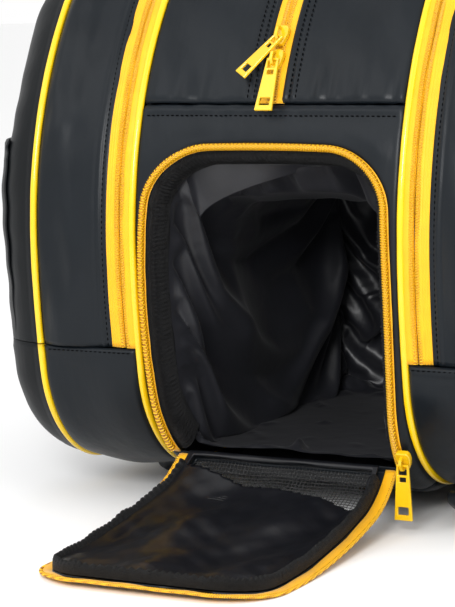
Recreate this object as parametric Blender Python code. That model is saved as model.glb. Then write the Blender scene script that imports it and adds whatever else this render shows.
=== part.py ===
"""Racket tournament bag, standing on its two padded carrying straps, with the end pocket open.

Two racket compartments stand on either side of a centre section. Each compartment closes with a zip that
runs over the top and down both ends, and its outer half folds out like a lid about a line on the side panel.
The centre section has a top zip with two sliders and, in its front end, a shoe pocket behind a flap that is
hinged along its bottom edge. X is the width, Y runs from the front end to the rear, and Z is up.
"""

import math

import bmesh
import bpy
import numpy as np
from mathutils import Matrix, Vector

# ---- Driving dimensions, in metres ----
LENGTH = 0.580
HEIGHT = 0.370
CENTRE_WIDTH = 0.1928
COMPARTMENT_WIDTH = 0.0771
SIDE_BULGE = 0.042
SIDE_SHOULDER = 0.050
SIDE_DOME = 0.003

BELLY_HEIGHT = 0.178
UPPER_LEAN = math.radians(37)
LOWER_LEAN = math.radians(8)
TOP_CORNER_RADIUS = 0.075
CENTRE_BASE = 0.014
CENTRE_TOE_RADIUS = 0.080
COMPARTMENT_BASE = 0.0205
COMPARTMENT_TOE_RADIUS = 0.085

WALL = 0.004
DIVIDER_THICKNESS = 0.003
BOARD_MARGIN = 0.012
BOARD_THICKNESS = 0.0025
GAP = 0.0003
PIPING_RADIUS = 0.0024
PIPING_SINK = 0.0008
GUSSET_CROWN = 0.003

TAPE_WIDTH = 0.0068
TAPE_THICKNESS = 0.0016
TAPE_SINK = 0.0006
ZIP_END_HEIGHT = 0.113
TOP_SEAM_HEIGHT = 0.275

HINGE_HEIGHT = 0.0385
POCKET_TOP = 0.2500
POCKET_HALF_WIDTH = 0.0805
POCKET_BOW = 0.0035
POCKET_CROWN = 0.003
POCKET_CORNER_RADIUS = 0.038
POCKET_DEPTH = 0.280
POCKET_TAPE_WIDTH = 0.0080
LINER_WALL = 0.002
BINDING_WIDTH = 0.0058
BINDING_DEPTH = 0.0040

FLAP_OPEN_ANGLE = math.radians(94.1)
FLAP_THICKNESS = 0.0032
FLAP_LINING_THICKNESS = 0.0012
FLAP_RIM_WIDTH = 0.0055
FLAP_RIM_HEIGHT = 0.0090
VENT_HALF_WIDTH = 0.066
VENT_START = 0.008
VENT_LENGTH = 0.028
FLAP_FOOT = 0.0012
FLAP_RIM_FOOT = 0.010

SLIP_POCKET_INSET = 0.008
SLIP_POCKET_GAP = 0.0008
SLIP_POCKET_THICKNESS = 0.0025
SLIP_POCKET_FOOT = 0.119
SLIP_POCKET_TOP = 0.250

STRAP_WIDTH = 0.060
STRAP_THICKNESS = 0.0150
STRAP_FRONT = {-1: 0.115, 1: 0.030}
STRAP_NOSE = 0.012
STRAP_RISE_RUN = 0.033
STRAP_REAR = 0.040
STRAP_RISE = {-1: 0.0, 1: 0.012}

HANDLE_RISE = 0.066
HANDLE_SPAN = 0.190
HANDLE_RADIUS = 0.0070
WEBBING_RADIUS = 0.0038
HANDLE_REST_TILT = math.radians(12)
SLEEVE_LENGTH = 0.110

SLIDER_LENGTH = 0.0140
SLIDER_WIDTH = 0.0100
SLIDER_NOSE_WIDTH = 0.0060
SLIDER_HEIGHT = 0.0042
LOWER_TOP_SLIDER_PLACE = 0.3015
UPPER_TOP_SLIDER_PLACE = 0.3165
POCKET_SLIDER_RISE = 0.011
SLIDER_CLEARANCE = 0.0034
BRIDGE_LENGTH = 0.0095
BRIDGE_WIDTH = 0.0018
BRIDGE_BEAM = 0.0013
BRIDGE_RISE = 0.0056
TAB_LENGTH = 0.0365
TAB_TOP_WIDTH = 0.0084
TAB_END_WIDTH = 0.0125
TAB_THICKNESS = 0.0018
TAB_BAR = 0.0015
TAB_PLAY = 0.0005
TAB_EYE_HALF_WIDTH = 0.0029
TAB_SLOT_HALF_WIDTH = 0.0037
TAB_EYE_END = 0.0062
TAB_WINDOW = (0.0076, 0.0108)
TAB_SLOT = (0.0270, 0.0322)
ASIDE_ACROSS = (0.84, -0.50, -0.22)
ASIDE_ALONG = (-0.60, -0.424, -0.678)
ASIDE_SHIFT = 0.0016

# ---- Places that follow from them ----
FRONT = -LENGTH / 2
INNER_SEAM = CENTRE_WIDTH / 2
OUTER_SEAM = INNER_SEAM + COMPARTMENT_WIDTH
CENTRE_EDGE = INNER_SEAM - PIPING_RADIUS - GAP
ZIP_INNER_EDGE = INNER_SEAM + PIPING_RADIUS + GAP
ZIP_CENTRE = ZIP_INNER_EDGE + TAPE_WIDTH
ZIP_OUTER_EDGE = ZIP_CENTRE + GAP + TAPE_WIDTH
GUSSET_INNER_EDGE = ZIP_OUTER_EDGE + GAP
GUSSET_OUTER_EDGE = OUTER_SEAM - PIPING_RADIUS - GAP
SIDE_RIM = OUTER_SEAM + PIPING_RADIUS + GAP
SIDE_FACE = SIDE_RIM + SIDE_BULGE
FLAP_EDGE = POCKET_TAPE_WIDTH + 2 * GAP

BLACK_LEATHERETTE = (0.018, 0.020, 0.023)
BLACK_LINING = (0.010, 0.011, 0.013)
BLACK_MESH = (0.008, 0.008, 0.009)
YELLOW_TAPE = (0.90, 0.42, 0.010)
YELLOW_PIPING = (1.00, 0.62, 0.010)
YELLOW_PAINT = (0.92, 0.60, 0.010)
GREY_BOARD = (0.10, 0.10, 0.11)


# ---- The scene, materials and parents ----
def clear_scene():
    for old in list(bpy.data.objects):
        bpy.data.objects.remove(old, do_unlink=True)


def material(name, colour, roughness, metallic=0.0):
    """A Principled BSDF of one colour, made once and shared by name."""
    if name in bpy.data.materials:
        return bpy.data.materials[name]
    made = bpy.data.materials.new(name)
    made.use_nodes = True
    shader = made.node_tree.nodes["Principled BSDF"]
    shader.inputs["Base Color"].default_value = (*colour, 1.0)
    shader.inputs["Roughness"].default_value = roughness
    shader.inputs["Metallic"].default_value = metallic
    return made


def leatherette():
    return material("black_leatherette", BLACK_LEATHERETTE, 0.42)


def lining():
    return material("black_lining", BLACK_LINING, 0.36)


def zip_tape():
    return material("yellow_zip_tape", YELLOW_TAPE, 0.60)


def piping_cord():
    return material("yellow_piping", YELLOW_PIPING, 0.25)


def painted_metal():
    return material("yellow_painted_metal", YELLOW_PAINT, 0.32, 0.10)


def empty(name, place=(0, 0, 0), parent=None):
    """An unturned parent for moving pieces, at a world place."""
    made = bpy.data.objects.new(name, None)
    bpy.context.collection.objects.link(made)
    made.parent = parent
    origin = parent.matrix_world.translation if parent else Vector()
    made.location = Vector(place) - origin
    bpy.context.view_layer.update()
    return made


def mesh_object(name, points, faces, surface, parent, origin=(0, 0, 0), sharp=35):
    """A closed mesh in world coordinates, with the object's own origin at the given world point."""
    shift = Vector(origin)
    mesh = bpy.data.meshes.new(name)
    mesh.from_pydata([Vector(p) - shift for p in points], [], faces)
    work = bmesh.new()
    work.from_mesh(mesh)
    bmesh.ops.recalc_face_normals(work, faces=work.faces)
    if work.calc_volume(signed=True) < 0:
        bmesh.ops.reverse_faces(work, faces=work.faces)
    work.to_mesh(mesh)
    work.free()
    mesh.shade_smooth()
    mesh.set_sharp_from_angle(angle=math.radians(sharp))
    mesh.materials.append(surface)
    made = bpy.data.objects.new(name, mesh)
    bpy.context.collection.objects.link(made)
    made.parent = parent
    made.location = shift - parent.matrix_world.translation
    return made


def as_cutter(obj):
    """Hides a helper shape, which only cuts or keeps part of another piece."""
    obj.hide_render = True
    obj.display_type = "WIRE"
    return obj


def box(name, low, high, surface, parent):
    x0, y0, z0 = low
    x1, y1, z1 = high
    points = [(x, y, z) for x in (x0, x1) for y in (y0, y1) for z in (z0, z1)]
    faces = [(0, 1, 3, 2), (4, 6, 7, 5), (0, 4, 5, 1), (2, 3, 7, 6), (0, 2, 6, 4), (1, 5, 7, 3)]
    return mesh_object(name, points, faces, surface, parent)


def boolean(target, cutter, operation):
    step = target.modifiers.new(operation.lower(), "BOOLEAN")
    step.operation = operation
    step.solver = "EXACT"
    step.object = cutter


# ---- The side outline: bottom, toe arc, lower arc, upper arc, top corner arc, top ----
class Outline:
    """Half outline of a section in (y, z), read by a parameter that grows by 1 over each stretch.

    0 to 1 is the flat bottom from the middle of the bag to the toe, 1 to 2 the toe arc, 2 to 3 the lower
    arc up to the belly, 3 to 4 the upper arc, 4 to 5 the top corner arc and 5 to 6 the flat top.
    """

    def __init__(self, base, toe_radius):
        lean_up = math.sin(UPPER_LEAN)
        lean_down = math.sin(LOWER_LEAN)
        upper = (HEIGHT - BELLY_HEIGHT - TOP_CORNER_RADIUS * (1 - lean_up)) / lean_up
        lower = (BELLY_HEIGHT - base - toe_radius * (1 - lean_down)) / lean_down
        self.base = base
        self.upper_centre = (FRONT + upper, BELLY_HEIGHT)
        lower_centre = (FRONT + lower, BELLY_HEIGHT)
        toe_centre = self.step(lower_centre, lower - toe_radius, -LOWER_LEAN)
        corner_centre = self.step(self.upper_centre, upper - TOP_CORNER_RADIUS, UPPER_LEAN)
        self.toe_centre = toe_centre
        right = math.pi / 2
        self.arcs = (
            (toe_centre, toe_radius, -right, -LOWER_LEAN),
            (lower_centre, lower, -LOWER_LEAN, 0.0),
            (self.upper_centre, upper, 0.0, UPPER_LEAN),
            (corner_centre, TOP_CORNER_RADIUS, UPPER_LEAN, right),
        )

    @staticmethod
    def step(start, distance, lean):
        """The point at a distance from start, along the outward normal of that lean."""
        return (start[0] - distance * math.cos(lean), start[1] + distance * math.sin(lean))

    def at(self, place, outset=0.0):
        """(y, z) of one place on the front half, moved outwards by outset, and the lean of its normal."""
        if place <= 1:
            toe = self.toe_centre[0]
            return (toe * place, self.base - outset, -math.pi / 2)
        if place >= 5:
            corner = self.arcs[3][0][0]
            return (corner * (6 - place), HEIGHT + outset, math.pi / 2)
        index = min(int(place) - 1, 3)
        centre, radius, first, last = self.arcs[index]
        lean = first + (last - first) * (place - 1 - index)
        y, z = self.step(centre, radius + outset, lean)
        return (y, z, lean)

    def place_at_height(self, height):
        """The place on the front face whose height is the one given, by halving."""
        low, high = 1.0, 5.0
        for _ in range(50):
            middle = (low + high) / 2
            if self.at(middle)[1] < height:
                low = middle
            else:
                high = middle
        return (low + high) / 2


CENTRE_OUTLINE = Outline(CENTRE_BASE, CENTRE_TOE_RADIUS)
SIDE_OUTLINE = Outline(COMPARTMENT_BASE, COMPARTMENT_TOE_RADIUS)
STRETCH_STEPS = (1, 5, 2, 5, 5, 2)
TOE_SEAM = 1.25
SEAM_SHARE = 0.004
SHOULDER_WIDTH = 0.013


def places(first, last):
    """Places along the outline from first to last. A full turn is 12, and the rear half mirrors the front."""
    marks = [stretch + k / steps for stretch, steps in enumerate(STRETCH_STEPS) for k in range(steps)]
    marks += [6.0] + [12 - mark for mark in marks] + [-mark for mark in marks]
    inner = [mark for mark in sorted(set(marks)) if first + 0.02 < mark < last - 0.02]
    return [first, *inner, last]


def on_outline(outline, place, outset=0.0):
    """(y, z) and the outward (ny, nz) at a place on the full turn of 12, where 6 is the middle of the top."""
    place = place % 12
    rear = place > 6
    y, z, lean = outline.at(12 - place if rear else place, outset)
    side = -1 if rear else 1
    return side * y, z, -side * math.cos(lean), math.sin(lean)


def section_point(x, place, outset=0.0):
    """A point of the centre section, whose edges fall back to the compartments' outline near the seams."""
    full = CENTRE_EDGE - SHOULDER_WIDTH
    share = min(max((abs(x) - full) / (CENTRE_EDGE - full), 0.0), 1.0)
    share = share * share
    y0, z0, _, _ = on_outline(CENTRE_OUTLINE, place, outset)
    y1, z1, _, _ = on_outline(SIDE_OUTLINE, place, outset)
    return (x, y0 + (y1 - y0) * share, z0 + (z1 - z0) * share)


# ---- Building blocks ----
def shell_faces(rows, columns, wrap=False):
    """Faces of a closed shell made of two grids of points, the outer one first."""
    size = rows * columns

    def index(layer, i, j):
        return layer * size + (i % rows) * columns + j

    faces = []
    row_steps = rows if wrap else rows - 1
    for i in range(row_steps):
        for j in range(columns - 1):
            quad = [(i, j), (i + 1, j), (i + 1, j + 1), (i, j + 1)]
            faces.append([index(0, *corner) for corner in quad])
            faces.append([index(1, *corner) for corner in reversed(quad)])
        for j, turned in ((0, False), (columns - 1, True)):
            wall = [index(0, i, j), index(1, i, j), index(1, i + 1, j), index(0, i + 1, j)]
            faces.append(wall[::-1] if turned else wall)
    if not wrap:
        for j in range(columns - 1):
            for i in (0, rows - 1):
                faces.append([index(0, i, j), index(1, i, j), index(1, i, j + 1), index(0, i, j + 1)])
    return faces


def shell(name, outer, inner, surface, parent, wrap=False, origin=(0, 0, 0)):
    """A closed sheet of material between two grids of points."""
    rows, columns = len(outer), len(outer[0])
    points = [p for row in outer for p in row] + [p for row in inner for p in row]
    return mesh_object(name, points, shell_faces(rows, columns, wrap), surface, parent, origin)


def band(name, across, first, last, surface, parent, outline=SIDE_OUTLINE, sink=0.0, crown=0.0, thickness=WALL):
    """A strip that runs along the outline between two places, as wide as the x values given."""
    low, high = across[0], across[-1]

    def row(place, depth):
        line = []
        for x in across:
            swell = crown * (1 - ((2 * x - low - high) / (high - low)) ** 2)
            y, z, _, _ = on_outline(outline, place, swell - sink - depth)
            line.append((x, y, z))
        return line

    run = places(first, last)
    outer = [row(place, 0.0) for place in run]
    inner = [row(place, thickness) for place in run]
    return shell(name, outer, inner, surface, parent)


def tube(name, path, normals, radius, surface, parent, closed=False, sides=8, origin=(0, 0, 0)):
    """A round cord along a path, from one normal of the path at each point."""
    points, faces = [], []
    count = len(path)
    for k in range(count):
        before = path[k - 1] if closed or k else path[k]
        after = path[(k + 1) % count] if closed or k < count - 1 else path[k]
        ahead = (Vector(after) - Vector(before)).normalized()
        up = Vector(normals[k]).normalized()
        side = ahead.cross(up).normalized()
        for j in range(sides):
            turn = 2 * math.pi * (j + 0.5) / sides
            points.append(Vector(path[k]) + radius * (math.cos(turn) * up + math.sin(turn) * side))
    for k in range(count if closed else count - 1):
        for j in range(sides):
            here, there = k * sides, ((k + 1) % count) * sides
            faces.append([here + j, here + (j + 1) % sides, there + (j + 1) % sides, there + j])
    if not closed:
        faces.append(list(range(sides))[::-1])
        faces.append([(count - 1) * sides + j for j in range(sides)])
    return mesh_object(name, points, faces, surface, parent, origin)


def prism(name, ring, offset, surface, parent, origin=(0, 0, 0), sharp=35):
    """A flat closed ring of points carried along an offset."""
    count = len(ring)
    points = [Vector(p) for p in ring] + [Vector(p) + Vector(offset) for p in ring]
    faces = [list(range(count))[::-1], [count + k for k in range(count)]]
    faces += [[k, (k + 1) % count, count + (k + 1) % count, count + k] for k in range(count)]
    return mesh_object(name, points, faces, surface, parent, origin, sharp)


# ---- Centre section ----
def spread(low, high, count):
    return [low + (high - low) * k / (count - 1) for k in range(count)]


def centre_panel(name, across, first, last, parent):
    run = places(first, last)
    outer = [[section_point(x, place) for x in across] for place in run]
    inner = [[section_point(x, place, -WALL) for x in across] for place in run]
    return shell(name, outer, inner, leatherette(), parent)


def centre_section(parent):
    edge = CENTRE_EDGE
    shoulder = [-edge + SHOULDER_WIDTH * share for share in (0.0, 0.35, 0.7, 1.0)]
    full = shoulder + [0.0] + [-x for x in reversed(shoulder)]
    seam = CENTRE_OUTLINE.place_at_height(TOP_SEAM_HEIGHT)
    front = centre_panel("centre_front_panel", full, TOE_SEAM, seam, parent)
    outer_ring = pocket_ring(-(POCKET_TAPE_WIDTH + GAP), closed=True)
    ring = [(x, FRONT - 0.02, z) for x, z in outer_ring]
    opening = as_cutter(prism("front_panel_cutter", ring, (0, 0.09, 0), leatherette(), parent))
    boolean(front, opening, "DIFFERENCE")
    centre_panel("centre_rear_panel", full, 12 - seam, 12 - TOE_SEAM, parent)
    centre_panel("centre_bottom_panel", full, SEAM_SHARE - TOE_SEAM, TOE_SEAM - SEAM_SHARE, parent)
    inside = TAPE_WIDTH + 2 * GAP
    half = [inside] + [edge - SHOULDER_WIDTH * share for share in (1.0, 0.7, 0.35, 0.0)]
    centre_panel("top_panel_right", half, seam + SEAM_SHARE, 12 - seam - SEAM_SHARE, parent)
    centre_panel("top_panel_left", [-x for x in reversed(half)], seam + SEAM_SHARE, 12 - seam - SEAM_SHARE, parent)
    for side, name in ((-1, "left"), (1, "right")):
        across = sorted([side * GAP / 2, side * (TAPE_WIDTH + GAP)])
        tape_run = (seam + SEAM_SHARE, 12 - seam - SEAM_SHARE)
        band(f"top_zip_tape_{name}", across, *tape_run, zip_tape(), parent, CENTRE_OUTLINE, TAPE_SINK,
             thickness=TAPE_THICKNESS)
        divider(f"divider_{name}", side, parent)
    board_x, board_y, board_z = edge - BOARD_MARGIN, -FRONT - CENTRE_TOE_RADIUS - BOARD_MARGIN, CENTRE_BASE + WALL + GAP
    board_low = (-board_x, -board_y, board_z)
    board_high = (board_x, board_y, board_z + BOARD_THICKNESS)
    box("base_board", board_low, board_high, material("grey_board", GREY_BOARD, 0.7), parent)


def divider(name, side, parent):
    """The padded wall between the centre section and one racket compartment."""
    inset = -(WALL + GAP)
    first = side * (CENTRE_EDGE - DIVIDER_THICKNESS)
    ring = []
    for place in places(0, 12)[:-1]:
        _, y, z = section_point(CENTRE_EDGE, place, inset)
        ring.append((first, y, z))
    prism(name, ring, (side * DIVIDER_THICKNESS, 0, 0), leatherette(), parent)


# ---- The end pocket ----
def pocket_ring(inset, closed=False, foot=0.0):
    """(x, z) points of the pocket's arch, moved inwards: up the left side, over the top, down the right."""
    half = POCKET_HALF_WIDTH - inset
    top = POCKET_TOP - inset
    radius = max(POCKET_CORNER_RADIUS - inset, 0.004)
    shoulder = POCKET_TOP - POCKET_CORNER_RADIUS
    knee = HINGE_HEIGHT + 0.3 * (shoulder - HINGE_HEIGHT)
    levels = spread(HINGE_HEIGHT, knee, 6) + spread(knee, shoulder, 5)[1:-1]
    points = [(-half, HINGE_HEIGHT + foot)]
    points += [(-half, level) for level in levels if level > HINGE_HEIGHT + foot + 0.002]
    for k in range(7):
        turn = math.pi - math.pi / 2 * k / 6
        points.append((-half + radius + radius * math.cos(turn), top - radius + radius * math.sin(turn)))
    for share in (-0.4, 0.0):
        points.append((share * (half - radius), top))
    points += [(-x, z) for x, z in reversed(points[:-1])]
    shaped = []
    for x, z in points:
        rise = (z - HINGE_HEIGHT) / (POCKET_TOP - HINGE_HEIGHT)
        bow = POCKET_BOW * math.sin(math.pi * min(max(rise, 0.0), 1.0))
        crown = POCKET_CROWN * max(1 - (x / POCKET_HALF_WIDTH) ** 2, 0.0) * max(rise, 0.0) ** 4
        shaped.append((x + math.copysign(bow, x) if x else 0.0, z + crown))
    if closed:
        low = HINGE_HEIGHT + foot
        shaped += [(0.5 * half, low), (0.0, low), (-0.5 * half, low)]
    return shaped


def on_front(x, z, depth):
    """The point of the centre section's front face at a height, sunk by a depth along the face's normal."""
    place = CENTRE_OUTLINE.place_at_height(z)
    y, height, ny, nz = on_outline(CENTRE_OUTLINE, place, 0.0)
    return (x, y - ny * depth, height - nz * depth)


def arch_band(name, outer_inset, inner_inset, top_depth, thickness, surface, parent, foot=0.0, **more):
    """A strip that follows the pocket's arch between two insets, open at the bottom."""
    outer_line = pocket_ring(outer_inset, foot=foot)
    inner_line = pocket_ring(inner_inset, foot=foot)

    def row(pair, depth):
        return [on_front(x, z, depth) for x, z in pair]

    pairs = list(zip(outer_line, inner_line))
    outer = [row(pair, top_depth) for pair in pairs]
    inner = [row(pair, top_depth + thickness) for pair in pairs]
    return shell(name, outer, inner, surface, parent, **more)


def end_pocket(parent):
    arch_band("pocket_zip_tape", -POCKET_TAPE_WIDTH, 0.0, TAPE_SINK, TAPE_THICKNESS, zip_tape(), parent)
    binding_depth = TAPE_SINK + TAPE_THICKNESS + GAP
    arch_band("pocket_binding", 0.001, 0.001 + BINDING_WIDTH, binding_depth, BINDING_DEPTH, lining(), parent)
    pocket_liner(binding_depth + BINDING_DEPTH + GAP, parent)


def pocket_liner(depth, parent):
    """The nylon sock of the shoe pocket: open at the front, closed at the back."""
    outer_ring = pocket_ring(0.002, closed=True)
    inner_ring = pocket_ring(0.002 + LINER_WALL, closed=True, foot=LINER_WALL)
    back = FRONT + POCKET_DEPTH
    shares = (0.0, 0.08, 0.3, 0.65, 1.0)

    def rows(ring, end):
        lines = []
        for share in shares:
            line = []
            for x, z in ring:
                start = on_front(x, max(z, HINGE_HEIGHT), depth)
                line.append((x, start[1] + (end - start[1]) * share, z + (start[2] - z) * (1 - share)))
            lines.append(line)
        return lines

    outer, inner = rows(outer_ring, back), rows(inner_ring, back - LINER_WALL)
    count = len(outer_ring)
    points = [p for row in outer for p in row] + [p for row in inner for p in row]
    faces = []
    inside = len(shares) * count
    for i in range(len(shares) - 1):
        for j in range(count):
            a, b = i * count + j, i * count + (j + 1) % count
            faces.append([a, b, b + count, a + count])
            faces.append([inside + a + count, inside + b + count, inside + b, inside + a])
    last = (len(shares) - 1) * count
    faces.append([last + j for j in range(count)])
    faces.append([inside + last + j for j in reversed(range(count))])
    faces += [[j, inside + j, inside + (j + 1) % count, (j + 1) % count] for j in range(count)]
    mesh_object("shoe_pocket_liner", points, faces, lining(), parent)


def hinge_point():
    return Vector(on_front(0.0, HINGE_HEIGHT, 0.0))


def flap_plate(name, inset, foot, top_depth, thickness, surface, parent, pivot):
    """A sheet that fills the arch inside an inset, as rows across from the hinge to the top."""
    ring = pocket_ring(inset, foot=foot)
    middle = len(ring) // 2
    left = ring[: middle + 1]
    right = list(reversed(ring[middle:]))
    across = spread(0.0, 1.0, 5)
    rows = [[(a[0] + (b[0] - a[0]) * s, a[1]) for s in across] for a, b in zip(left[:-1], right[:-1])]
    crown_row = [(p[0] * 0.5, left[-1][1]) for p in rows[-1]]
    outer = [[on_front(x, z, top_depth) for x, z in row] for row in rows + [crown_row]]
    inner = [[on_front(x, z, top_depth + thickness) for x, z in row] for row in rows + [crown_row]]
    return shell(name, outer, inner, surface, parent, origin=pivot)


def pocket_flap(bag):
    """The flap of the shoe pocket, built closed about the hinge line and then turned down to its open place."""
    pivot = hinge_point()
    hinge = empty("flap_hinge", pivot, bag)
    hinge.rotation_euler = (FLAP_OPEN_ANGLE, 0, 0)
    foot = FLAP_FOOT
    panel_inset = FLAP_EDGE
    plate = (GAP, FLAP_THICKNESS)
    panel = flap_plate("flap_panel", panel_inset, foot, *plate, leatherette(), hinge, pivot)
    rim_start = panel_inset + GAP
    rim_depth = GAP + FLAP_THICKNESS + GAP
    lining_inset = rim_start + FLAP_RIM_WIDTH + GAP
    sheet = (rim_depth, FLAP_LINING_THICKNESS)
    inner = flap_plate("flap_lining", lining_inset, foot, *sheet, lining(), hinge, pivot)
    tape = dict(parent=hinge, foot=foot, origin=pivot)
    arch_band("flap_zip_tape", GAP, POCKET_TAPE_WIDTH + GAP, TAPE_SINK, TAPE_THICKNESS, zip_tape(), **tape)
    tape["foot"] = FLAP_RIM_FOOT
    rim_end = rim_start + FLAP_RIM_WIDTH
    arch_band("flap_binding", rim_start, rim_end, rim_depth, FLAP_RIM_HEIGHT, lining(), **tape)
    low = HINGE_HEIGHT + VENT_START
    window = [(-VENT_HALF_WIDTH, low), (VENT_HALF_WIDTH, low)]
    window += [(VENT_HALF_WIDTH, low + VENT_LENGTH), (-VENT_HALF_WIDTH, low + VENT_LENGTH)]
    ring = [(x, pivot[1] - 0.05, z) for x, z in window]
    cutter = as_cutter(prism("vent_cutter", ring, (0, 0.08, 0), lining(), hinge, origin=pivot))
    boolean(panel, cutter, "DIFFERENCE")
    boolean(inner, cutter, "DIFFERENCE")
    edge = VENT_HALF_WIDTH - GAP
    heights = spread(low + GAP, low + VENT_LENGTH - 4 * GAP, 4)
    outer = [[on_front(x, z, 0.0012) for x in (-edge, 0.0, edge)] for z in heights]
    under = [[on_front(x, z, 0.0022) for x in (-edge, 0.0, edge)] for z in heights]
    mesh = material("black_mesh", BLACK_MESH, 0.6)
    shell("flap_vent_mesh", outer, under, mesh, hinge, origin=pivot)
    for obj in [child for child in bpy.data.objects if child.parent == hinge]:
        obj.location = (0, 0, 0)


# ---- Racket compartments ----
def side_rings(side, start_inset, lift, wall=0.0):
    """Rings of the bulged side panel: parallel to the seam over the shoulder, then drawn in to the middle."""
    insets = [start_inset] + [d for d in (0.003, 0.010, 0.022, 0.036) if d > start_inset + 0.001]
    insets.append(SIDE_SHOULDER)
    run = places(0, 12)[:-1]
    rings = []
    for inset in insets:
        share = 1 - inset / SIDE_SHOULDER
        rise = math.sqrt(max(1 - share * share, 0.0))
        x = SIDE_RIM + lift + (SIDE_BULGE - SIDE_DOME - wall) * rise
        depth = inset + wall * share
        rings.append([(side * x, *on_outline(SIDE_OUTLINE, place, -depth)[:2]) for place in run])
    middle = Vector((0, (BELLY_HEIGHT + HEIGHT / 2) / 2))
    for scale in (0.55, 0.0):
        x = SIDE_RIM + lift + SIDE_BULGE - wall - SIDE_DOME * scale * scale
        flat = [middle + (Vector(p[1:]) - middle) * scale for p in rings[len(insets) - 1]]
        rings.append([(side * x, p[0], p[1]) for p in flat])
    return rings


def dish(name, outer, inner, surface, parent):
    """A bulged panel between two sets of rings, closed round its rim."""
    count = len(outer[0])
    points, faces = [], []
    for rings in (outer, inner):
        for ring in rings[:-1]:
            points += ring
        points.append(rings[-1][0])
    layer = (len(outer) - 1) * count + 1
    for base, turned in ((0, False), (layer, True)):
        for i in range(len(outer) - 2):
            for j in range(count):
                a, b = base + i * count + j, base + i * count + (j + 1) % count
                faces.append([a, b, b + count, a + count][:: -1 if turned else 1])
        last = base + (len(outer) - 2) * count
        for j in range(count):
            faces.append([last + j, last + (j + 1) % count, base + layer - 1][:: -1 if turned else 1])
    faces += [[j, layer + j, layer + (j + 1) % count, (j + 1) % count] for j in range(count)]
    return mesh_object(name, points, faces, surface, parent)


def seam_cord(name, x, first, last, parent, closed=False):
    """One run of piping along the compartments' outline."""
    run = places(first, last)
    if closed:
        run = run[:-1]
    path, normals = [], []
    for place in run:
        y, z, ny, nz = on_outline(SIDE_OUTLINE, place, -PIPING_SINK)
        path.append((x, y, z))
        normals.append((0, ny, nz))
    return tube(name, path, normals, PIPING_RADIUS, piping_cord(), parent, closed, sides=6)


def slab(name, side, low, high, parent):
    """A hidden box that reaches right across one compartment between two heights."""
    reach = SIDE_FACE + 0.03
    x0, x1 = sorted([side * (INNER_SEAM - 0.01), side * reach])
    low_corner, high_corner = (x0, FRONT - 0.02, low), (x1, -FRONT + 0.02, high)
    return as_cutter(box(name, low_corner, high_corner, leatherette(), parent))


def racket_compartment(name, side, bag):
    """One compartment: a fixed tray below the zip's ends, and the cover that folds out about the side panel."""
    cut = SIDE_OUTLINE.place_at_height(ZIP_END_HEIGHT - GAP)
    above = SIDE_OUTLINE.place_at_height(ZIP_END_HEIGHT + GAP)
    hinge = empty(f"{name}_cover_hinge", (side * (SIDE_FACE + 0.0005), 0, ZIP_END_HEIGHT), bag)
    seam_cord(f"{name}_inner_piping", side * INNER_SEAM, 0, 12, bag, closed=True)

    def across(inner, outer, count):
        return sorted(side * x for x in spread(inner, outer, count))

    tray_span = across(ZIP_INNER_EDGE, GUSSET_OUTER_EDGE, 5)
    band(f"{name}_tray_gusset", tray_span, -cut, cut, leatherette(), bag, crown=GUSSET_CROWN)
    upper = (above, 12 - above)
    band(f"{name}_cover_gusset", across(GUSSET_INNER_EDGE, GUSSET_OUTER_EDGE, 4), *upper, leatherette(), hinge,
         crown=GUSSET_CROWN)
    inner_tape = across(ZIP_INNER_EDGE, ZIP_CENTRE - GAP / 2, 2)
    outer_tape = across(ZIP_CENTRE + GAP / 2, ZIP_OUTER_EDGE, 2)
    band(f"{name}_body_zip_tape", inner_tape, *upper, zip_tape(), bag, sink=TAPE_SINK, thickness=TAPE_THICKNESS)
    band(f"{name}_cover_zip_tape", outer_tape, *upper, zip_tape(), hinge, sink=TAPE_SINK,
         thickness=TAPE_THICKNESS)
    seam_cord(f"{name}_outer_piping_lower", side * OUTER_SEAM, -cut, cut, bag)
    seam_cord(f"{name}_outer_piping_upper", side * OUTER_SEAM, *upper, hinge)
    skin, back = side_rings(side, 0.0, 0.0), side_rings(side, 0.0, 0.0, WALL)
    lower = dish(f"{name}_side_panel_lower", skin, back, leatherette(), bag)
    boolean(lower, slab(f"{name}_tray_keep", side, -0.02, ZIP_END_HEIGHT - GAP, bag), "INTERSECT")
    upper_panel = dish(f"{name}_side_panel_upper", skin, back, leatherette(), hinge)
    keep = slab(f"{name}_cover_keep", side, ZIP_END_HEIGHT + GAP, HEIGHT + 0.02, bag)
    boolean(upper_panel, keep, "INTERSECT")
    skin = side_rings(side, SLIP_POCKET_INSET, SLIP_POCKET_GAP + SLIP_POCKET_THICKNESS)
    back = side_rings(side, SLIP_POCKET_INSET, SLIP_POCKET_GAP)
    pocket = dish(f"{name}_slip_pocket", skin, back, leatherette(), hinge)
    boolean(pocket, slab(f"{name}_pocket_keep", side, SLIP_POCKET_FOOT, SLIP_POCKET_TOP, bag), "INTERSECT")


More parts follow.
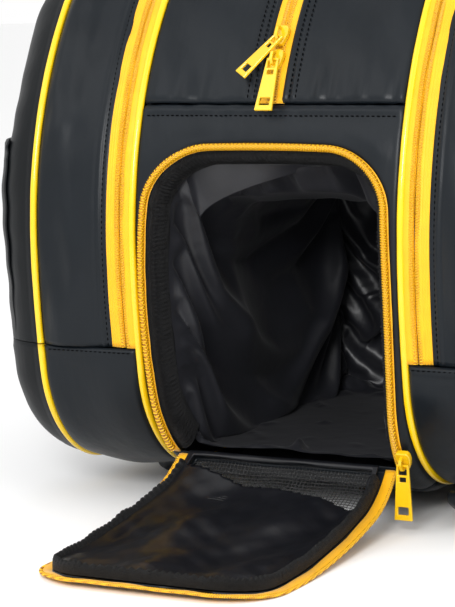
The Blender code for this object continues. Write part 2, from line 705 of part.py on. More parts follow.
# ---- Carrying straps and handles ----
def carrying_strap(name, side, bag):
    """A padded backpack strap, folded flat under one compartment. The bag stands on the pair."""
    start, end = FRONT + STRAP_FRONT[side], -FRONT - STRAP_REAR
    half = STRAP_WIDTH / 2
    centre = side * (ZIP_INNER_EDGE + half + 0.003)
    stations = [start + half * k for k in (0.0, 0.15, 0.4, 0.7, 1.0)] + [start + 0.038, start + 0.046]
    stations += spread(start + 0.10, end, 5)

    def section(y, height):
        nose = min((y - start) / half, 1.0)
        width = half * max(math.sqrt(1 - (1 - nose) ** 2), 0.35)
        rise_share = min(max(1 - (y - start - STRAP_NOSE) / STRAP_RISE_RUN, 0.0), 1.0)
        rise = STRAP_RISE[side] * rise_share * rise_share * (3 - 2 * rise_share)
        line = []
        for share in (-1.0, -0.86, -0.45, 0.45, 0.86, 1.0):
            edge = {1.0: 0.30, 0.86: 0.08}.get(abs(share), 0.0)
            z = STRAP_THICKNESS * (edge if height == 0 else 1 - edge)
            line.append((centre + width * share, y, z + rise))
        return line

    outer = [section(y, 1) for y in stations]
    inner = [section(y, 0) for y in stations]
    return shell(name, outer, inner, leatherette(), bag)


def carry_handle(name, side, bag):
    """A webbing handle hinged along the top panel, lying over the top zip at rest, with a padded sleeve."""
    base_x = side * (CENTRE_EDGE - 0.012)
    base_z = HEIGHT + WEBBING_RADIUS + 2 * GAP
    pivot = (base_x, 0, base_z)
    hinge = empty(f"{name}_hinge", pivot, bag)
    out = Vector((-side * math.cos(HANDLE_REST_TILT), 0, math.sin(HANDLE_REST_TILT)))
    half = HANDLE_SPAN / 2
    corner = 0.040
    flat_path = [(-half, 0.0), (-half, 0.012)]
    for k in range(7):
        turn = math.pi - math.pi / 2 * k / 6
        flat_path.append((-half + corner + corner * math.cos(turn), HANDLE_RISE - corner + corner * math.sin(turn)))
    flat_path += [(-y, rise) for y, rise in reversed(flat_path)]
    path = [Vector(pivot) + Vector((0, y, 0)) + out * rise for y, rise in flat_path]
    normal = out.cross(Vector((0, 1, 0)))
    loop = tube(f"{name}_webbing", path, [normal] * len(path), WEBBING_RADIUS, leatherette(), hinge,
                origin=pivot)
    sleeve_path = [Vector(pivot) + Vector((0, y, 0)) + out * HANDLE_RISE
                   for y in spread(-SLEEVE_LENGTH / 2, SLEEVE_LENGTH / 2, 2)]
    sleeve = tube(f"{name}_sleeve", sleeve_path, [normal] * 2, HANDLE_RADIUS, leatherette(), hinge, sides=10,
                  origin=pivot)
    bore_path = [sleeve_path[0] - Vector((0, 0.01, 0)), sleeve_path[1] + Vector((0, 0.01, 0))]
    bore_radius = WEBBING_RADIUS + GAP
    core = as_cutter(tube(f"{name}_sleeve_bore", bore_path, [normal] * 2, bore_radius, leatherette(), hinge,
                          origin=pivot))
    boolean(sleeve, core, "DIFFERENCE")
    for obj in (loop, sleeve, core):
        obj.location = (0, 0, 0)


# ---- Zip sliders and their pull tabs ----
def slider_points():
    """Plan of a slider, in metres across and along: a wide shield that narrows to the nose at +Y."""
    half, nose, length = SLIDER_WIDTH / 2, SLIDER_NOSE_WIDTH / 2, SLIDER_LENGTH / 2
    right = [(half * 0.72, -length), (half, -length * 0.72), (half, -length * 0.1), (nose * 1.25, length * 0.55),
             (nose, length * 0.85), (nose * 0.55, length)]
    return right + [(-x, y) for x, y in reversed(right)]


def oriented(across, along):
    """A turn whose columns are the across, along and outward directions of a slider on its zip."""
    y = Vector(along).normalized()
    x = Vector(across)
    x = (x - y * x.dot(y)).normalized()
    z = x.cross(y)
    return Matrix((x, y, z)).transposed().to_4x4()


def place_on(obj, hinge, point, turn):
    obj.parent = hinge
    obj.matrix_parent_inverse = Matrix()
    obj.matrix_local = Matrix.Translation(Vector(point) - hinge.matrix_world.translation) @ turn


def zip_slider(name, hinge, point, across, along):
    """A slider: the shield body with the bridge that carries the pull tab."""
    ring = [(x, y, 0.0) for x, y in slider_points()]
    body = prism(name, ring, (0, 0, SLIDER_HEIGHT), painted_metal(), hinge)
    bevel = body.modifiers.new("soft_edges", "BEVEL")
    bevel.width = 0.0007
    bevel.segments = 1
    half, beam, top = BRIDGE_LENGTH / 2, BRIDGE_BEAM, SLIDER_HEIGHT + BRIDGE_RISE
    foot = SLIDER_HEIGHT / 2
    path = [(-half, foot), (-half, top - 2 * beam), (-half + 1.6 * beam, top), (half - 1.6 * beam, top),
            (half, top - 2 * beam), (half, foot), (half - beam, foot), (half - beam, top - 2.3 * beam),
            (half - 2 * beam, top - beam), (-half + 2 * beam, top - beam), (-half + beam, top - 2.3 * beam),
            (-half + beam, foot)]
    arch = [(-BRIDGE_WIDTH / 2, y, z) for y, z in path]
    bridge = as_cutter(prism(f"{name}_bridge", arch, (BRIDGE_WIDTH, 0, 0), painted_metal(), hinge))
    boolean(body, bridge, "UNION")
    turn = oriented(across, along)
    for obj in (body, bridge):
        place_on(obj, hinge, point, turn)
    return body


def pull_tab(name, hinge, turn):
    """A pull tab: a plate that widens to its end, with an eye for the bridge, a window and a slot."""
    top, end = TAB_TOP_WIDTH / 2, TAB_END_WIDTH / 2
    eye, window, slot = TAB_EYE_HALF_WIDTH, 0.8 * TAB_EYE_HALF_WIDTH, TAB_SLOT_HALF_WIDTH
    rows = [-TAB_BAR / 2, TAB_BAR / 2, TAB_EYE_END, *TAB_WINDOW, *TAB_SLOT, TAB_LENGTH - TAB_BAR / 2]
    holes = {(1, 1), (3, 1), (5, 1)}
    inner = [eye, eye, eye, window, window, slot, slot, slot]
    points, faces = [], []
    for z in (-TAB_THICKNESS / 2, TAB_THICKNESS / 2):
        for y, gap in zip(rows, inner):
            half = top + (end - top) * max(y, 0.0) / TAB_LENGTH
            points += [(-half, y, z), (-gap, y, z), (gap, y, z), (half, y, z)]
    layer = 4 * len(rows)
    cells = {(i, j) for i in range(len(rows) - 1) for j in range(3)} - holes
    for i, j in sorted(cells):
        corners = [4 * i + j, 4 * i + j + 1, 4 * i + j + 5, 4 * i + j + 4]
        faces.append(corners)
        faces.append([layer + c for c in reversed(corners)])
        for k, step in enumerate(((-1, 0), (0, 1), (1, 0), (0, -1))):
            if (i + step[0], j + step[1]) not in cells:
                a, b = corners[k], corners[(k + 1) % 4]
                faces.append([b, a, layer + a, layer + b])
    tab = mesh_object(name, points, faces, painted_metal(), hinge)
    bevel = tab.modifiers.new("soft_edges", "BEVEL")
    bevel.width = 0.0003
    bevel.segments = 1
    place_on(tab, hinge, hinge.matrix_world.translation, turn)


def slider_and_tab(name, axis_point, point, across, along, bag, tab_across=None, tab_along=None, tab_shift=0.0):
    """A slider that swings about axis_point to follow its curved zip, and the tab that hangs from its bridge.

    A tab turned aside on the bridge is moved along its own bar by tab_shift, so that its eye clears the bridge.
    """
    out = Vector(across).normalized().cross(Vector(along).normalized())
    hinge = empty(f"{name}_path", axis_point, bag)
    zip_slider(f"{name}_slider", hinge, Vector(point) + out * GAP, across, along)
    bar_height = SLIDER_HEIGHT + BRIDGE_RISE - BRIDGE_BEAM - TAB_THICKNESS - TAB_PLAY
    bar_shift = BRIDGE_LENGTH / 2 - BRIDGE_BEAM - 0.72 * TAB_THICKNESS - 3 * GAP
    bar_point = Vector(point) + out * (GAP + bar_height) + Vector(along).normalized() * bar_shift
    turn = oriented(tab_across or across, tab_along or along)
    bar_point += turn.col[0].to_3d() * tab_shift
    tab_hinge = empty(f"{name}_tab_hinge", bar_point, hinge)
    pull_tab(f"{name}_pull_tab", tab_hinge, turn)


def zip_sliders(bag):
    """Two sliders on the top zip, one on the end pocket's zip and one at the rear end of each compartment's."""
    centre_x, centre_z = CENTRE_OUTLINE.upper_centre
    for name, height, turned_aside in (("top_lower", LOWER_TOP_SLIDER_PLACE, False), ("top_upper", UPPER_TOP_SLIDER_PLACE, True)):
        place = CENTRE_OUTLINE.place_at_height(height)
        y, z, ny, nz = on_outline(CENTRE_OUTLINE, place, 0.0)
        down = (0, -nz, ny)
        side = (-1, 0, 0)
        more = {}
        if turned_aside:
            more = dict(tab_across=ASIDE_ACROSS, tab_along=ASIDE_ALONG, tab_shift=ASIDE_SHIFT)
        slider_and_tab(name, (0, centre_x, centre_z), (0, y, z), side, down, bag, **more)
    toe_y, toe_z = CENTRE_OUTLINE.toe_centre
    place = CENTRE_OUTLINE.place_at_height(HINGE_HEIGHT + POCKET_SLIDER_RISE)
    y, z, ny, nz = on_outline(CENTRE_OUTLINE, place, 0.0)
    x = POCKET_HALF_WIDTH + SLIDER_WIDTH / 2 + SLIDER_CLEARANCE
    slider_and_tab("pocket", (x, toe_y, toe_z), (x, y, z), (-1, 0, 0), (0, -nz, ny), bag,
                   tab_across=(-1, 0, 0), tab_along=(0, 0, -1))
    for side, name in ((-1, "left"), (1, "right")):
        place = 12 - SIDE_OUTLINE.place_at_height(ZIP_END_HEIGHT + SLIDER_LENGTH / 2 + 0.003)
        y, z, ny, nz = on_outline(SIDE_OUTLINE, place, 0.001)
        arc = SIDE_OUTLINE.arcs[1][0]
        x = side * ZIP_CENTRE
        slider_and_tab(f"{name}_zip", (x, -arc[0], arc[1]), (x, y, z), (1, 0, 0), (0, nz, -ny), bag,
                       tab_across=(1, 0, 0), tab_along=(0, 0, -1))


def centre_on_origin(bag):
    """Moves the whole bag along Y until the middle of its length, with the flap open, is at the origin."""
    graph = bpy.context.evaluated_depsgraph_get()
    ends = []
    for obj in bpy.data.objects:
        if obj.type == "MESH" and not obj.hide_render:
            shape = obj.evaluated_get(graph)
            ends += [(shape.matrix_world @ Vector(corner)).y for corner in shape.bound_box]
    bag.location.y = -(min(ends) + max(ends)) / 2
    bpy.context.view_layer.update()


def build_bag():
    clear_scene()
    bag = empty("racket_bag")
    centre_section(bag)
    end_pocket(bag)
    pocket_flap(bag)
    for side, name in ((-1, "left"), (1, "right")):
        racket_compartment(name, side, bag)
        carrying_strap(f"{name}_carrying_strap", side, bag)
        carry_handle(f"{name}_handle", side, bag)
    zip_sliders(bag)
    centre_on_origin(bag)


build_bag()
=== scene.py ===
"""Looks of a padded racket tournament bag with its end pocket open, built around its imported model."""
import math

import bmesh
import bpy
import numpy as np
from mathutils import Matrix, Vector


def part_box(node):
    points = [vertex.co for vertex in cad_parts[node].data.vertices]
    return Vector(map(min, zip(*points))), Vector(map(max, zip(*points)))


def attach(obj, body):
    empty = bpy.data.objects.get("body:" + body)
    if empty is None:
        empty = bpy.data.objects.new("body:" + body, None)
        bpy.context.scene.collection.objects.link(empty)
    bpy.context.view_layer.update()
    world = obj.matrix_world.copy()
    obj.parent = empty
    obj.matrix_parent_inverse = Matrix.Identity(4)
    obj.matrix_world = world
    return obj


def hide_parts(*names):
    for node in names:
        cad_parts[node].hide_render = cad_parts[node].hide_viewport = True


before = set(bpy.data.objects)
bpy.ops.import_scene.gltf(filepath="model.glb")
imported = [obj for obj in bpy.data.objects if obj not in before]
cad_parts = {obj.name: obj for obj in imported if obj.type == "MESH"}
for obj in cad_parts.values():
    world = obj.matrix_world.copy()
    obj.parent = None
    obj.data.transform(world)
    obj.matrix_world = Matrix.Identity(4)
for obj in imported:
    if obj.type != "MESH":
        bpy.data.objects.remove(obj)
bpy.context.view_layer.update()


# ---- Studio ----
# A white paper floor under an even white sky, a broad lamp above the front left, a fill lamp at the right, one
# overhead and a small one aimed into the pocket. The camera stands low in front, a little to the bag's right.
side_low, side_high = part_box("left_side_panel_upper")
MIDDLE_Y = (side_low.y + side_high.y) / 2
VIEW_TURN = math.radians(28)
VIEW_PITCH = math.radians(8.4)
VIEW_ROLL = math.radians(-1.79)
VIEW_DISTANCE = 1.4804
VIEW_TARGET = Vector((-0.0204, side_low.y - 0.0108, 0.1487))
LENS = 181.98
SENSOR = 36.0

ahead = Vector((-math.sin(VIEW_TURN) * math.cos(VIEW_PITCH), math.cos(VIEW_TURN) * math.cos(VIEW_PITCH),
                -math.sin(VIEW_PITCH)))
level = Vector((math.cos(VIEW_TURN), math.sin(VIEW_TURN), 0))
above = level.cross(ahead)
view_right = level * math.cos(VIEW_ROLL) + above * math.sin(VIEW_ROLL)
view_up = above * math.cos(VIEW_ROLL) - level * math.sin(VIEW_ROLL)
camera_data = bpy.data.cameras.new("camera")
camera_data.sensor_fit = "HORIZONTAL"
camera_data.sensor_width = SENSOR
camera_data.lens = LENS
camera_data.clip_end = 50
camera = bpy.data.objects.new("camera", camera_data)
bpy.context.collection.objects.link(camera)
turn = Matrix((view_right, view_up, -ahead)).transposed().to_4x4()
camera.matrix_world = Matrix.Translation(VIEW_TARGET - ahead * VIEW_DISTANCE) @ turn
bpy.context.scene.camera = camera

world = bpy.data.worlds.new("studio")
world.use_nodes = True
world.node_tree.nodes["Background"].inputs["Color"].default_value = (1, 1, 1, 1)
world.node_tree.nodes["Background"].inputs["Strength"].default_value = 1.0
bpy.context.scene.world = world
bpy.context.scene.view_settings.view_transform = "Standard"


def lamp(name, place, aim, size, power):
    """A square soft lamp at a place, aimed at a point."""
    data = bpy.data.lights.new(name, "AREA")
    data.size = size
    data.energy = power
    made = bpy.data.objects.new(name, data)
    bpy.context.collection.objects.link(made)
    made.location = place
    made.rotation_euler = (Vector(aim) - Vector(place)).to_track_quat("-Z", "Y").to_euler()


lamp("key_lamp", (-1.3, -1.9, 1.9), (0, 0, 0.2), 1.3, 9)
lamp("fill_lamp", (2.0, -0.9, 1.2), (0, 0, 0.2), 1.2, 5)
lamp("top_lamp", (0.2, 0.4, 2.4), (0, 0, 0.3), 1.6, 7)
lamp("pocket_lamp", (0.30, -1.5, 0.80), (-0.02, 0.05, 0.12), 0.45, 14.0)

floor_mesh = bpy.data.meshes.new("floor")
reach = 12.0
floor_mesh.from_pydata([(-reach, -reach, 0), (reach, -reach, 0), (reach, reach, 0), (-reach, reach, 0)], [],
                       [(0, 1, 2, 3)])
floor = bpy.data.objects.new("floor", floor_mesh)
bpy.context.collection.objects.link(floor)
paper = bpy.data.materials.new("white_paper")
paper.use_nodes = True
paper.node_tree.nodes["Principled BSDF"].inputs["Base Color"].default_value = (0.93, 0.93, 0.93, 1)
paper.node_tree.nodes["Principled BSDF"].inputs["Roughness"].default_value = 0.9
floor_mesh.materials.append(paper)


# ---- Centre section panels ----
# The middle of the bag: a front and a rear end panel, a bottom panel and two top panels beside the top zip,
# cut from black coated fabric with a smooth satin face over thin foam. Their edges are folded in at the
# seams and sewn down with black topstitching.
LENGTH = 0.580
HEIGHT = 0.370
BELLY_HEIGHT = 0.178
UPPER_LEAN = math.radians(37)
LOWER_LEAN = math.radians(8)
TOP_CORNER_RADIUS = 0.075
CENTRE_BASE = 0.014
CENTRE_TOE_RADIUS = 0.080
COMPARTMENT_BASE = 0.0205
COMPARTMENT_TOE_RADIUS = 0.085
CENTRE_EDGE = 0.0937
SHOULDER_WIDTH = 0.013
TOP_SEAM_HEIGHT = 0.275
TOE_SEAM = 1.25
SEAM_SHARE = 0.004
PANEL_THICKNESS = 0.0030
SEAM_ROLL = 0.0030
SEAM_DROP = 0.0016
ZIP_HALF_WIDTH = 0.0074
TOP_STITCH_ROWS = (0.0052, 0.0098)
STITCH_PITCH = 0.0036
STITCH_LENGTH = 0.0024
STITCH_WIDTH = 0.0008
BLACK_FACE = (0.0055, 0.0078, 0.0105)
BLACK_THREAD = (0.0008, 0.0008, 0.001)
FRONT = -LENGTH / 2


def outline(base, toe_radius):
    """Side outline of a section as a closed loop, read by place from 0 to 12.

    Each unit is one stretch: flat bottom, toe arc, lower arc, upper arc, top corner arc and flat top, then
    the same backwards for the rear, whose y is the front's with its sign changed.
    """
    lean_up, lean_down = math.sin(UPPER_LEAN), math.sin(LOWER_LEAN)
    upper = (HEIGHT - BELLY_HEIGHT - TOP_CORNER_RADIUS * (1 - lean_up)) / lean_up
    lower = (BELLY_HEIGHT - base - toe_radius * (1 - lean_down)) / lean_down

    def step(start, distance, lean):
        return start[0] - distance * math.cos(lean), start[1] + distance * math.sin(lean)

    upper_centre, lower_centre = (FRONT + upper, BELLY_HEIGHT), (FRONT + lower, BELLY_HEIGHT)
    toe = step(lower_centre, lower - toe_radius, -LOWER_LEAN)
    corner = step(upper_centre, upper - TOP_CORNER_RADIUS, UPPER_LEAN)
    arcs = ((toe, toe_radius, -math.pi / 2, -LOWER_LEAN), (lower_centre, lower, -LOWER_LEAN, 0.0),
            (upper_centre, upper, 0.0, UPPER_LEAN), (corner, TOP_CORNER_RADIUS, UPPER_LEAN, math.pi / 2))
    share = np.linspace(0, 1, 300, endpoint=False)
    y, z, lean = [toe[0] * share], [base + 0 * share], [-math.pi / 2 + 0 * share]
    for centre, radius, first, last in arcs:
        angle = first + (last - first) * share
        y.append(centre[0] - radius * np.cos(angle))
        z.append(centre[1] + radius * np.sin(angle))
        lean.append(angle)
    y, z, lean = (np.concatenate(part) for part in (y + [corner[0] * (1 - share)], z + [HEIGHT + 0 * share],
                                                    lean + [math.pi / 2 + 0 * share]))
    place = np.linspace(0, 6, len(y), endpoint=False)
    place = np.concatenate([place, [6], (12 - place)[:0:-1], [12]])
    y = np.concatenate([y, [0], -y[:0:-1], [0]])
    z = np.concatenate([z, [HEIGHT], z[:0:-1], [base]])
    lean = np.concatenate([lean, [math.pi / 2], lean[:0:-1], [-math.pi / 2]])
    side = np.where(place > 6, -1, 1)
    return {"place": place, "y": y, "z": z, "ny": -side * np.cos(lean), "nz": np.sin(lean)}


def read(line, place, outset=0.0):
    """y, z and outward (ny, nz) of an outline at places on the loop of 12, moved outwards by outset."""
    at = np.mod(place, 12)
    y, z, ny, nz = (np.interp(at, line["place"], line[key]) for key in ("y", "z", "ny", "nz"))
    return y + ny * outset + MIDDLE_Y, z + nz * outset, ny, nz


def at_x(line, x, place, outset=0.0):
    """Points of an outline at x, moved outwards by outset, and their outward ways."""
    y, z, ny, nz = read(line, place, outset)
    return np.stack([x + 0 * y, y, z], -1), np.stack([0 * y, ny, nz], -1)


def front_place(line, height):
    """Place on the front face at a height."""
    front = (line["place"] >= 1) & (line["place"] <= 5)
    return np.interp(height, line["z"][front], line["place"][front])


def even(line, first, last, spacing):
    """Places from first to last whose points lie an equal length apart, near the spacing, and those lengths."""
    dense = np.linspace(first, last, 6000)
    y, z, _, _ = read(line, dense)
    run = np.concatenate([[0], np.cumsum(np.hypot(np.diff(y), np.diff(z)))])
    lengths = np.linspace(0, run[-1], max(int(round(run[-1] / spacing)), 2) + 1)
    return np.interp(lengths, run, dense), lengths


def grid_piece(name, points, outward, wrap_rows=False, wrap_columns=False, ends=False):
    """A mesh from rows and columns of points, turned so that its faces look along outward.

    Each face joins a point with its neighbours in the next row and column. The UV map holds metres: along the
    rows' run in U and across the columns in V. Ends closes the two end rows of a tube with a face.
    """
    rows, columns = points.shape[:2]
    i = np.arange(rows if wrap_rows else rows - 1)[:, None]
    j = np.arange(columns if wrap_columns else columns - 1)[None, :]
    after_i, after_j = (i + 1) % rows, (j + 1) % columns
    corners = [i * columns + j, after_i * columns + j, after_i * columns + after_j, i * columns + after_j]
    faces = np.stack(corners, -1).reshape(-1, 4)
    flat = points.reshape(-1, 3)
    normal = np.cross(flat[faces[:, 2]] - flat[faces[:, 0]], flat[faces[:, 3]] - flat[faces[:, 1]])
    toward = np.broadcast_to(outward, points.shape).reshape(-1, 3)[faces[:, 0]]
    turned = (normal * toward).sum() < 0
    if turned:
        faces = faces[:, ::-1]
    mesh = bpy.data.meshes.new(name)
    first_end = np.arange(columns)
    last_end = first_end + (rows - 1) * columns
    caps = [first_end, last_end[::-1]] if turned else [first_end[::-1], last_end]
    if not ends:
        caps = []
    loops = np.concatenate([faces.reshape(-1), *caps]).astype(np.int32)
    sizes = np.concatenate([np.full(len(faces), 4), [len(cap) for cap in caps]]).astype(np.int32)
    mesh.vertices.add(len(flat))
    mesh.vertices.foreach_set("co", flat.astype(np.float32).reshape(-1))
    mesh.loops.add(len(loops))
    mesh.loops.foreach_set("vertex_index", loops)
    mesh.polygons.add(len(sizes))
    mesh.polygons.foreach_set("loop_start", (np.cumsum(sizes) - sizes).astype(np.int32))
    mesh.update(calc_edges=True)
    along = np.zeros((rows, columns))
    across = np.zeros((rows, columns))
    along[1:] = np.cumsum(np.linalg.norm(np.diff(points, axis=0), axis=2), axis=0)
    across[:, 1:] = np.cumsum(np.linalg.norm(np.diff(points, axis=1), axis=2), axis=1)
    uv = np.stack([along, across], -1).reshape(-1, 2)[loops]
    mesh.uv_layers.new(name="UVMap").data.foreach_set("uv", uv.astype(np.float32).reshape(-1))
    mesh.shade_smooth()
    made = bpy.data.objects.new(name, mesh)
    bpy.context.collection.objects.link(made)
    return made


def thicken(piece, thickness):
    """Gives a sheet a wall inwards from its face."""
    wall = piece.modifiers.new("wall", "SOLIDIFY")
    wall.thickness = thickness
    wall.offset = -1
    wall.use_rim = True
    return piece


def dress(piece, surface, body, slot, *nodes):
    """Gives a piece its material, the body that carries it and the CAD nodes it stands for. Its finish slot is
    not used.
    """
    piece.data.materials.clear()
    piece.data.materials.append(surface)
    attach(piece, body)
    if nodes:
        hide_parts(*nodes)
    return piece


def fade(distance, over):
    """0 at an edge, rising straight to 1 at the distance over, and 1 past it."""
    return np.clip(distance / over, 0, 1)


def ridge(offset, width):
    """A bell curve of height 1 at offset 0: exp(-(offset / width)^2)."""
    return np.exp(-(offset / width) ** 2)


def ripples(u, v, seed, size, heading=0.0, spread=1.5, count=9):
    """Soft uneven waves: a sum of cosines whose headings, sizes and phases are drawn from one seed."""
    draw = np.random.default_rng(seed)
    total = np.zeros(np.broadcast(u, v).shape)
    for _ in range(count):
        angle = heading + draw.uniform(-spread, spread)
        rate = 2 * math.pi / (size * draw.uniform(0.6, 1.7))
        total = total + np.cos(rate * (u * math.cos(angle) + v * math.sin(angle)) + draw.uniform(0, 6.28))
    return total / math.sqrt(count)


def edge_roll(distance, roll=SEAM_ROLL, drop=SEAM_DROP):
    """Drop of a folded edge: a quarter ellipse that falls by drop over the last roll of the distance."""
    near = np.clip(1 - distance / roll, 0, 1)
    return -drop * (1 - np.sqrt(np.clip(1 - near * near, 0, 1)))


def link(tree, source, output, target, socket):
    tree.links.new(source.outputs[output], target.inputs[socket])


def surface(name, colour, roughness, bumps=(), tone=0.0, tone_scale=20.0, coat=0.0, sheen=0.0, metal=0.0,
            specular=0.5, rough_spread=0.0, valley_shade=None):
    """A Principled material whose colour and roughness drift with a noise, under one or more bump layers.

    Each bump is (kind, scale, stretch, height in metres): noise or weave in object space, ribs along the UV.
    """
    made = bpy.data.materials.new(name)
    made.use_nodes = True
    tree = made.node_tree
    shader = tree.nodes["Principled BSDF"]
    shader.inputs["Metallic"].default_value = metal
    shader.inputs["Coat Weight"].default_value = coat
    shader.inputs["Coat Roughness"].default_value = 0.12
    shader.inputs["Sheen Weight"].default_value = sheen
    shader.inputs["Sheen Roughness"].default_value = 0.4
    shader.inputs["Specular IOR Level"].default_value = specular
    spots = tree.nodes.new("ShaderNodeTexCoord")
    drift = tree.nodes.new("ShaderNodeTexNoise")
    drift.inputs["Scale"].default_value = tone_scale
    drift.inputs["Detail"].default_value = 4
    link(tree, spots, "Object", drift, "Vector")
    ramp = tree.nodes.new("ShaderNodeValToRGB")
    ramp.color_ramp.elements[0].position = 0.3
    ramp.color_ramp.elements[1].position = 0.7
    ramp.color_ramp.elements[0].color = (*[c * (1 - tone) for c in colour], 1)
    ramp.color_ramp.elements[1].color = (*[min(c * (1 + tone), 1) for c in colour], 1)
    link(tree, drift, "Fac", ramp, "Fac")
    link(tree, ramp, "Color", shader, "Base Color")
    # Valley shade: a wave along the UV mixes a dark orange into the base colour. It is painted shade in the
    # valleys between a zip coil's threads, once per coil pitch, and leaves the crests bright.
    if valley_shade:
        scale, dark = valley_shade
        bands = tree.nodes.new("ShaderNodeTexWave")
        bands.bands_direction = "X"
        bands.inputs["Scale"].default_value = scale
        bands.inputs["Distortion"].default_value = 0.3
        mix = tree.nodes.new("ShaderNodeMix")
        mix.data_type = "RGBA"
        light_in, dark_in = (socket for socket in mix.inputs if socket.type == "RGBA")
        mixed = [socket for socket in mix.outputs if socket.type == "RGBA"][0]
        dark_in.default_value = (*dark, 1)
        link(tree, spots, "UV", bands, "Vector")
        link(tree, bands, "Fac", mix, "Factor")
        tree.links.new(ramp.outputs["Color"], light_in)
        tree.links.new(mixed, shader.inputs["Base Color"])
    gloss = tree.nodes.new("ShaderNodeMapRange")
    gloss.inputs["To Min"].default_value = roughness - rough_spread
    gloss.inputs["To Max"].default_value = roughness + rough_spread
    link(tree, drift, "Fac", gloss, "Value")
    link(tree, gloss, "Result", shader, "Roughness")
    before = None
    for kind, scale, stretch, height in bumps:
        place = tree.nodes.new("ShaderNodeMapping")
        place.inputs["Scale"].default_value = stretch
        link(tree, spots, "UV" if kind in ("ribs", "chevrons") else "Object", place, "Vector")
        if kind == "noise":
            pattern = tree.nodes.new("ShaderNodeTexNoise")
            pattern.inputs["Scale"].default_value = scale
            pattern.inputs["Detail"].default_value = 3
            output = "Fac"
        elif kind == "cells":
            pattern = tree.nodes.new("ShaderNodeTexVoronoi")
            pattern.inputs["Scale"].default_value = scale
            output = "Distance"
        else:
            pattern = tree.nodes.new("ShaderNodeTexWave")
            pattern.bands_direction = "X" if kind in ("ribs", "weft") else "DIAGONAL"
            pattern.inputs["Scale"].default_value = scale
            pattern.inputs["Distortion"].default_value = 0.4
            output = "Fac"
        link(tree, place, "Vector", pattern, "Vector")
        bump = tree.nodes.new("ShaderNodeBump")
        bump.inputs["Strength"].default_value = 1.0
        bump.inputs["Distance"].default_value = height
        link(tree, pattern, output, bump, "Height")
        if before:
            link(tree, before, "Normal", bump, "Normal")
        before = bump
    if before:
        link(tree, before, "Normal", shader, "Normal")
    return made


leatherette = surface("black_leatherette", BLACK_FACE, 0.37, tone=0.12, rough_spread=0.05, specular=0.2,
                      bumps=(("noise", 26, (1.6, 1.6, 0.5), 0.0011), ("noise", 900, (1, 1, 1), 0.00003),
                             ("cells", 1500, (1, 1, 1), 0.00002)))
thread = surface("black_thread", BLACK_THREAD, 0.9, tone=0.2, tone_scale=900, specular=0.03,
                 bumps=(("ribs", 900, (1, 1, 1), 0.00006),))

centre_line = outline(CENTRE_BASE, CENTRE_TOE_RADIUS)
side_line = outline(COMPARTMENT_BASE, COMPARTMENT_TOE_RADIUS)


def section(x, place, outset=0.0):
    """Centre section points: the centre outline, falling back to the compartments' outline near the seams.

    The share of the compartments' outline grows as the square of the way over the shoulder.
    """
    share = fade(np.abs(x) - (CENTRE_EDGE - SHOULDER_WIDTH), SHOULDER_WIDTH) ** 2
    y0, z0, ny, nz = read(centre_line, place, outset)
    y1, z1, _, _ = read(side_line, place, outset)
    points = np.stack([x + 0 * y0, y0 + (y1 - y0) * share, z0 + (z1 - z0) * share], -1)
    return points, np.stack([0 * ny, ny, nz], -1)


def stitches(name, centres, ahead_way, out_way, body, sink=0.0):
    """Rows of topstitching: one short rounded thread at each centre, its ends sunk into the fabric.

    A stitch is a tube of six sides whose radius and height follow half an ellipse along its length.
    """
    turns = np.linspace(0, 2 * math.pi, 6, endpoint=False)
    steps = np.array([-1.0, -0.8, -0.3, 0.3, 0.8, 1.0])
    swell = np.sqrt(np.clip(1 - steps ** 2, 0.02, 1))
    a = (steps * STITCH_LENGTH / 2)[:, None] + 0 * turns
    b = STITCH_WIDTH * 0.5 * swell[:, None] * np.cos(turns)
    h = STITCH_WIDTH * 0.5 * swell[:, None] * np.sin(turns) + 0.00022 * swell[:, None] - sink
    side_way = np.cross(ahead_way, out_way)
    points = (centres[:, None, None] + ahead_way[:, None, None] * a[..., None]
              + side_way[:, None, None] * b[..., None] + out_way[:, None, None] * h[..., None])
    count = len(centres)
    i, j = np.arange(5)[:, None], np.arange(6)[None, :]
    one = np.stack([i * 6 + j, i * 6 + (j + 1) % 6, (i + 1) * 6 + (j + 1) % 6, (i + 1) * 6 + j], -1)
    one = one.reshape(-1, 4)
    faces = (one[None] + 36 * np.arange(count)[:, None, None]).reshape(-1, 4)
    mesh = bpy.data.meshes.new(name)
    mesh.from_pydata(points.reshape(-1, 3).tolist(), [], faces.tolist())
    mesh.shade_smooth()
    made = bpy.data.objects.new(name, mesh)
    bpy.context.collection.objects.link(made)
    return dress(made, thread, body, "black_leatherette")


def row_along(line, x, first, last, outset, section_of=None):
    """Centres, headings and outward ways of stitches along an outline at one x."""
    places, _ = even(line, first, last, STITCH_PITCH)
    if section_of is None:
        centres, out_way = at_x(line, x, places, outset)
    else:
        centres, out_way = section_of(x + 0 * places, places, outset)
    ahead_way = np.gradient(centres, axis=0)
    return centres, ahead_way / np.linalg.norm(ahead_way, axis=1)[:, None], out_way


def several(rows):
    return tuple(np.concatenate(part) for part in zip(*rows))


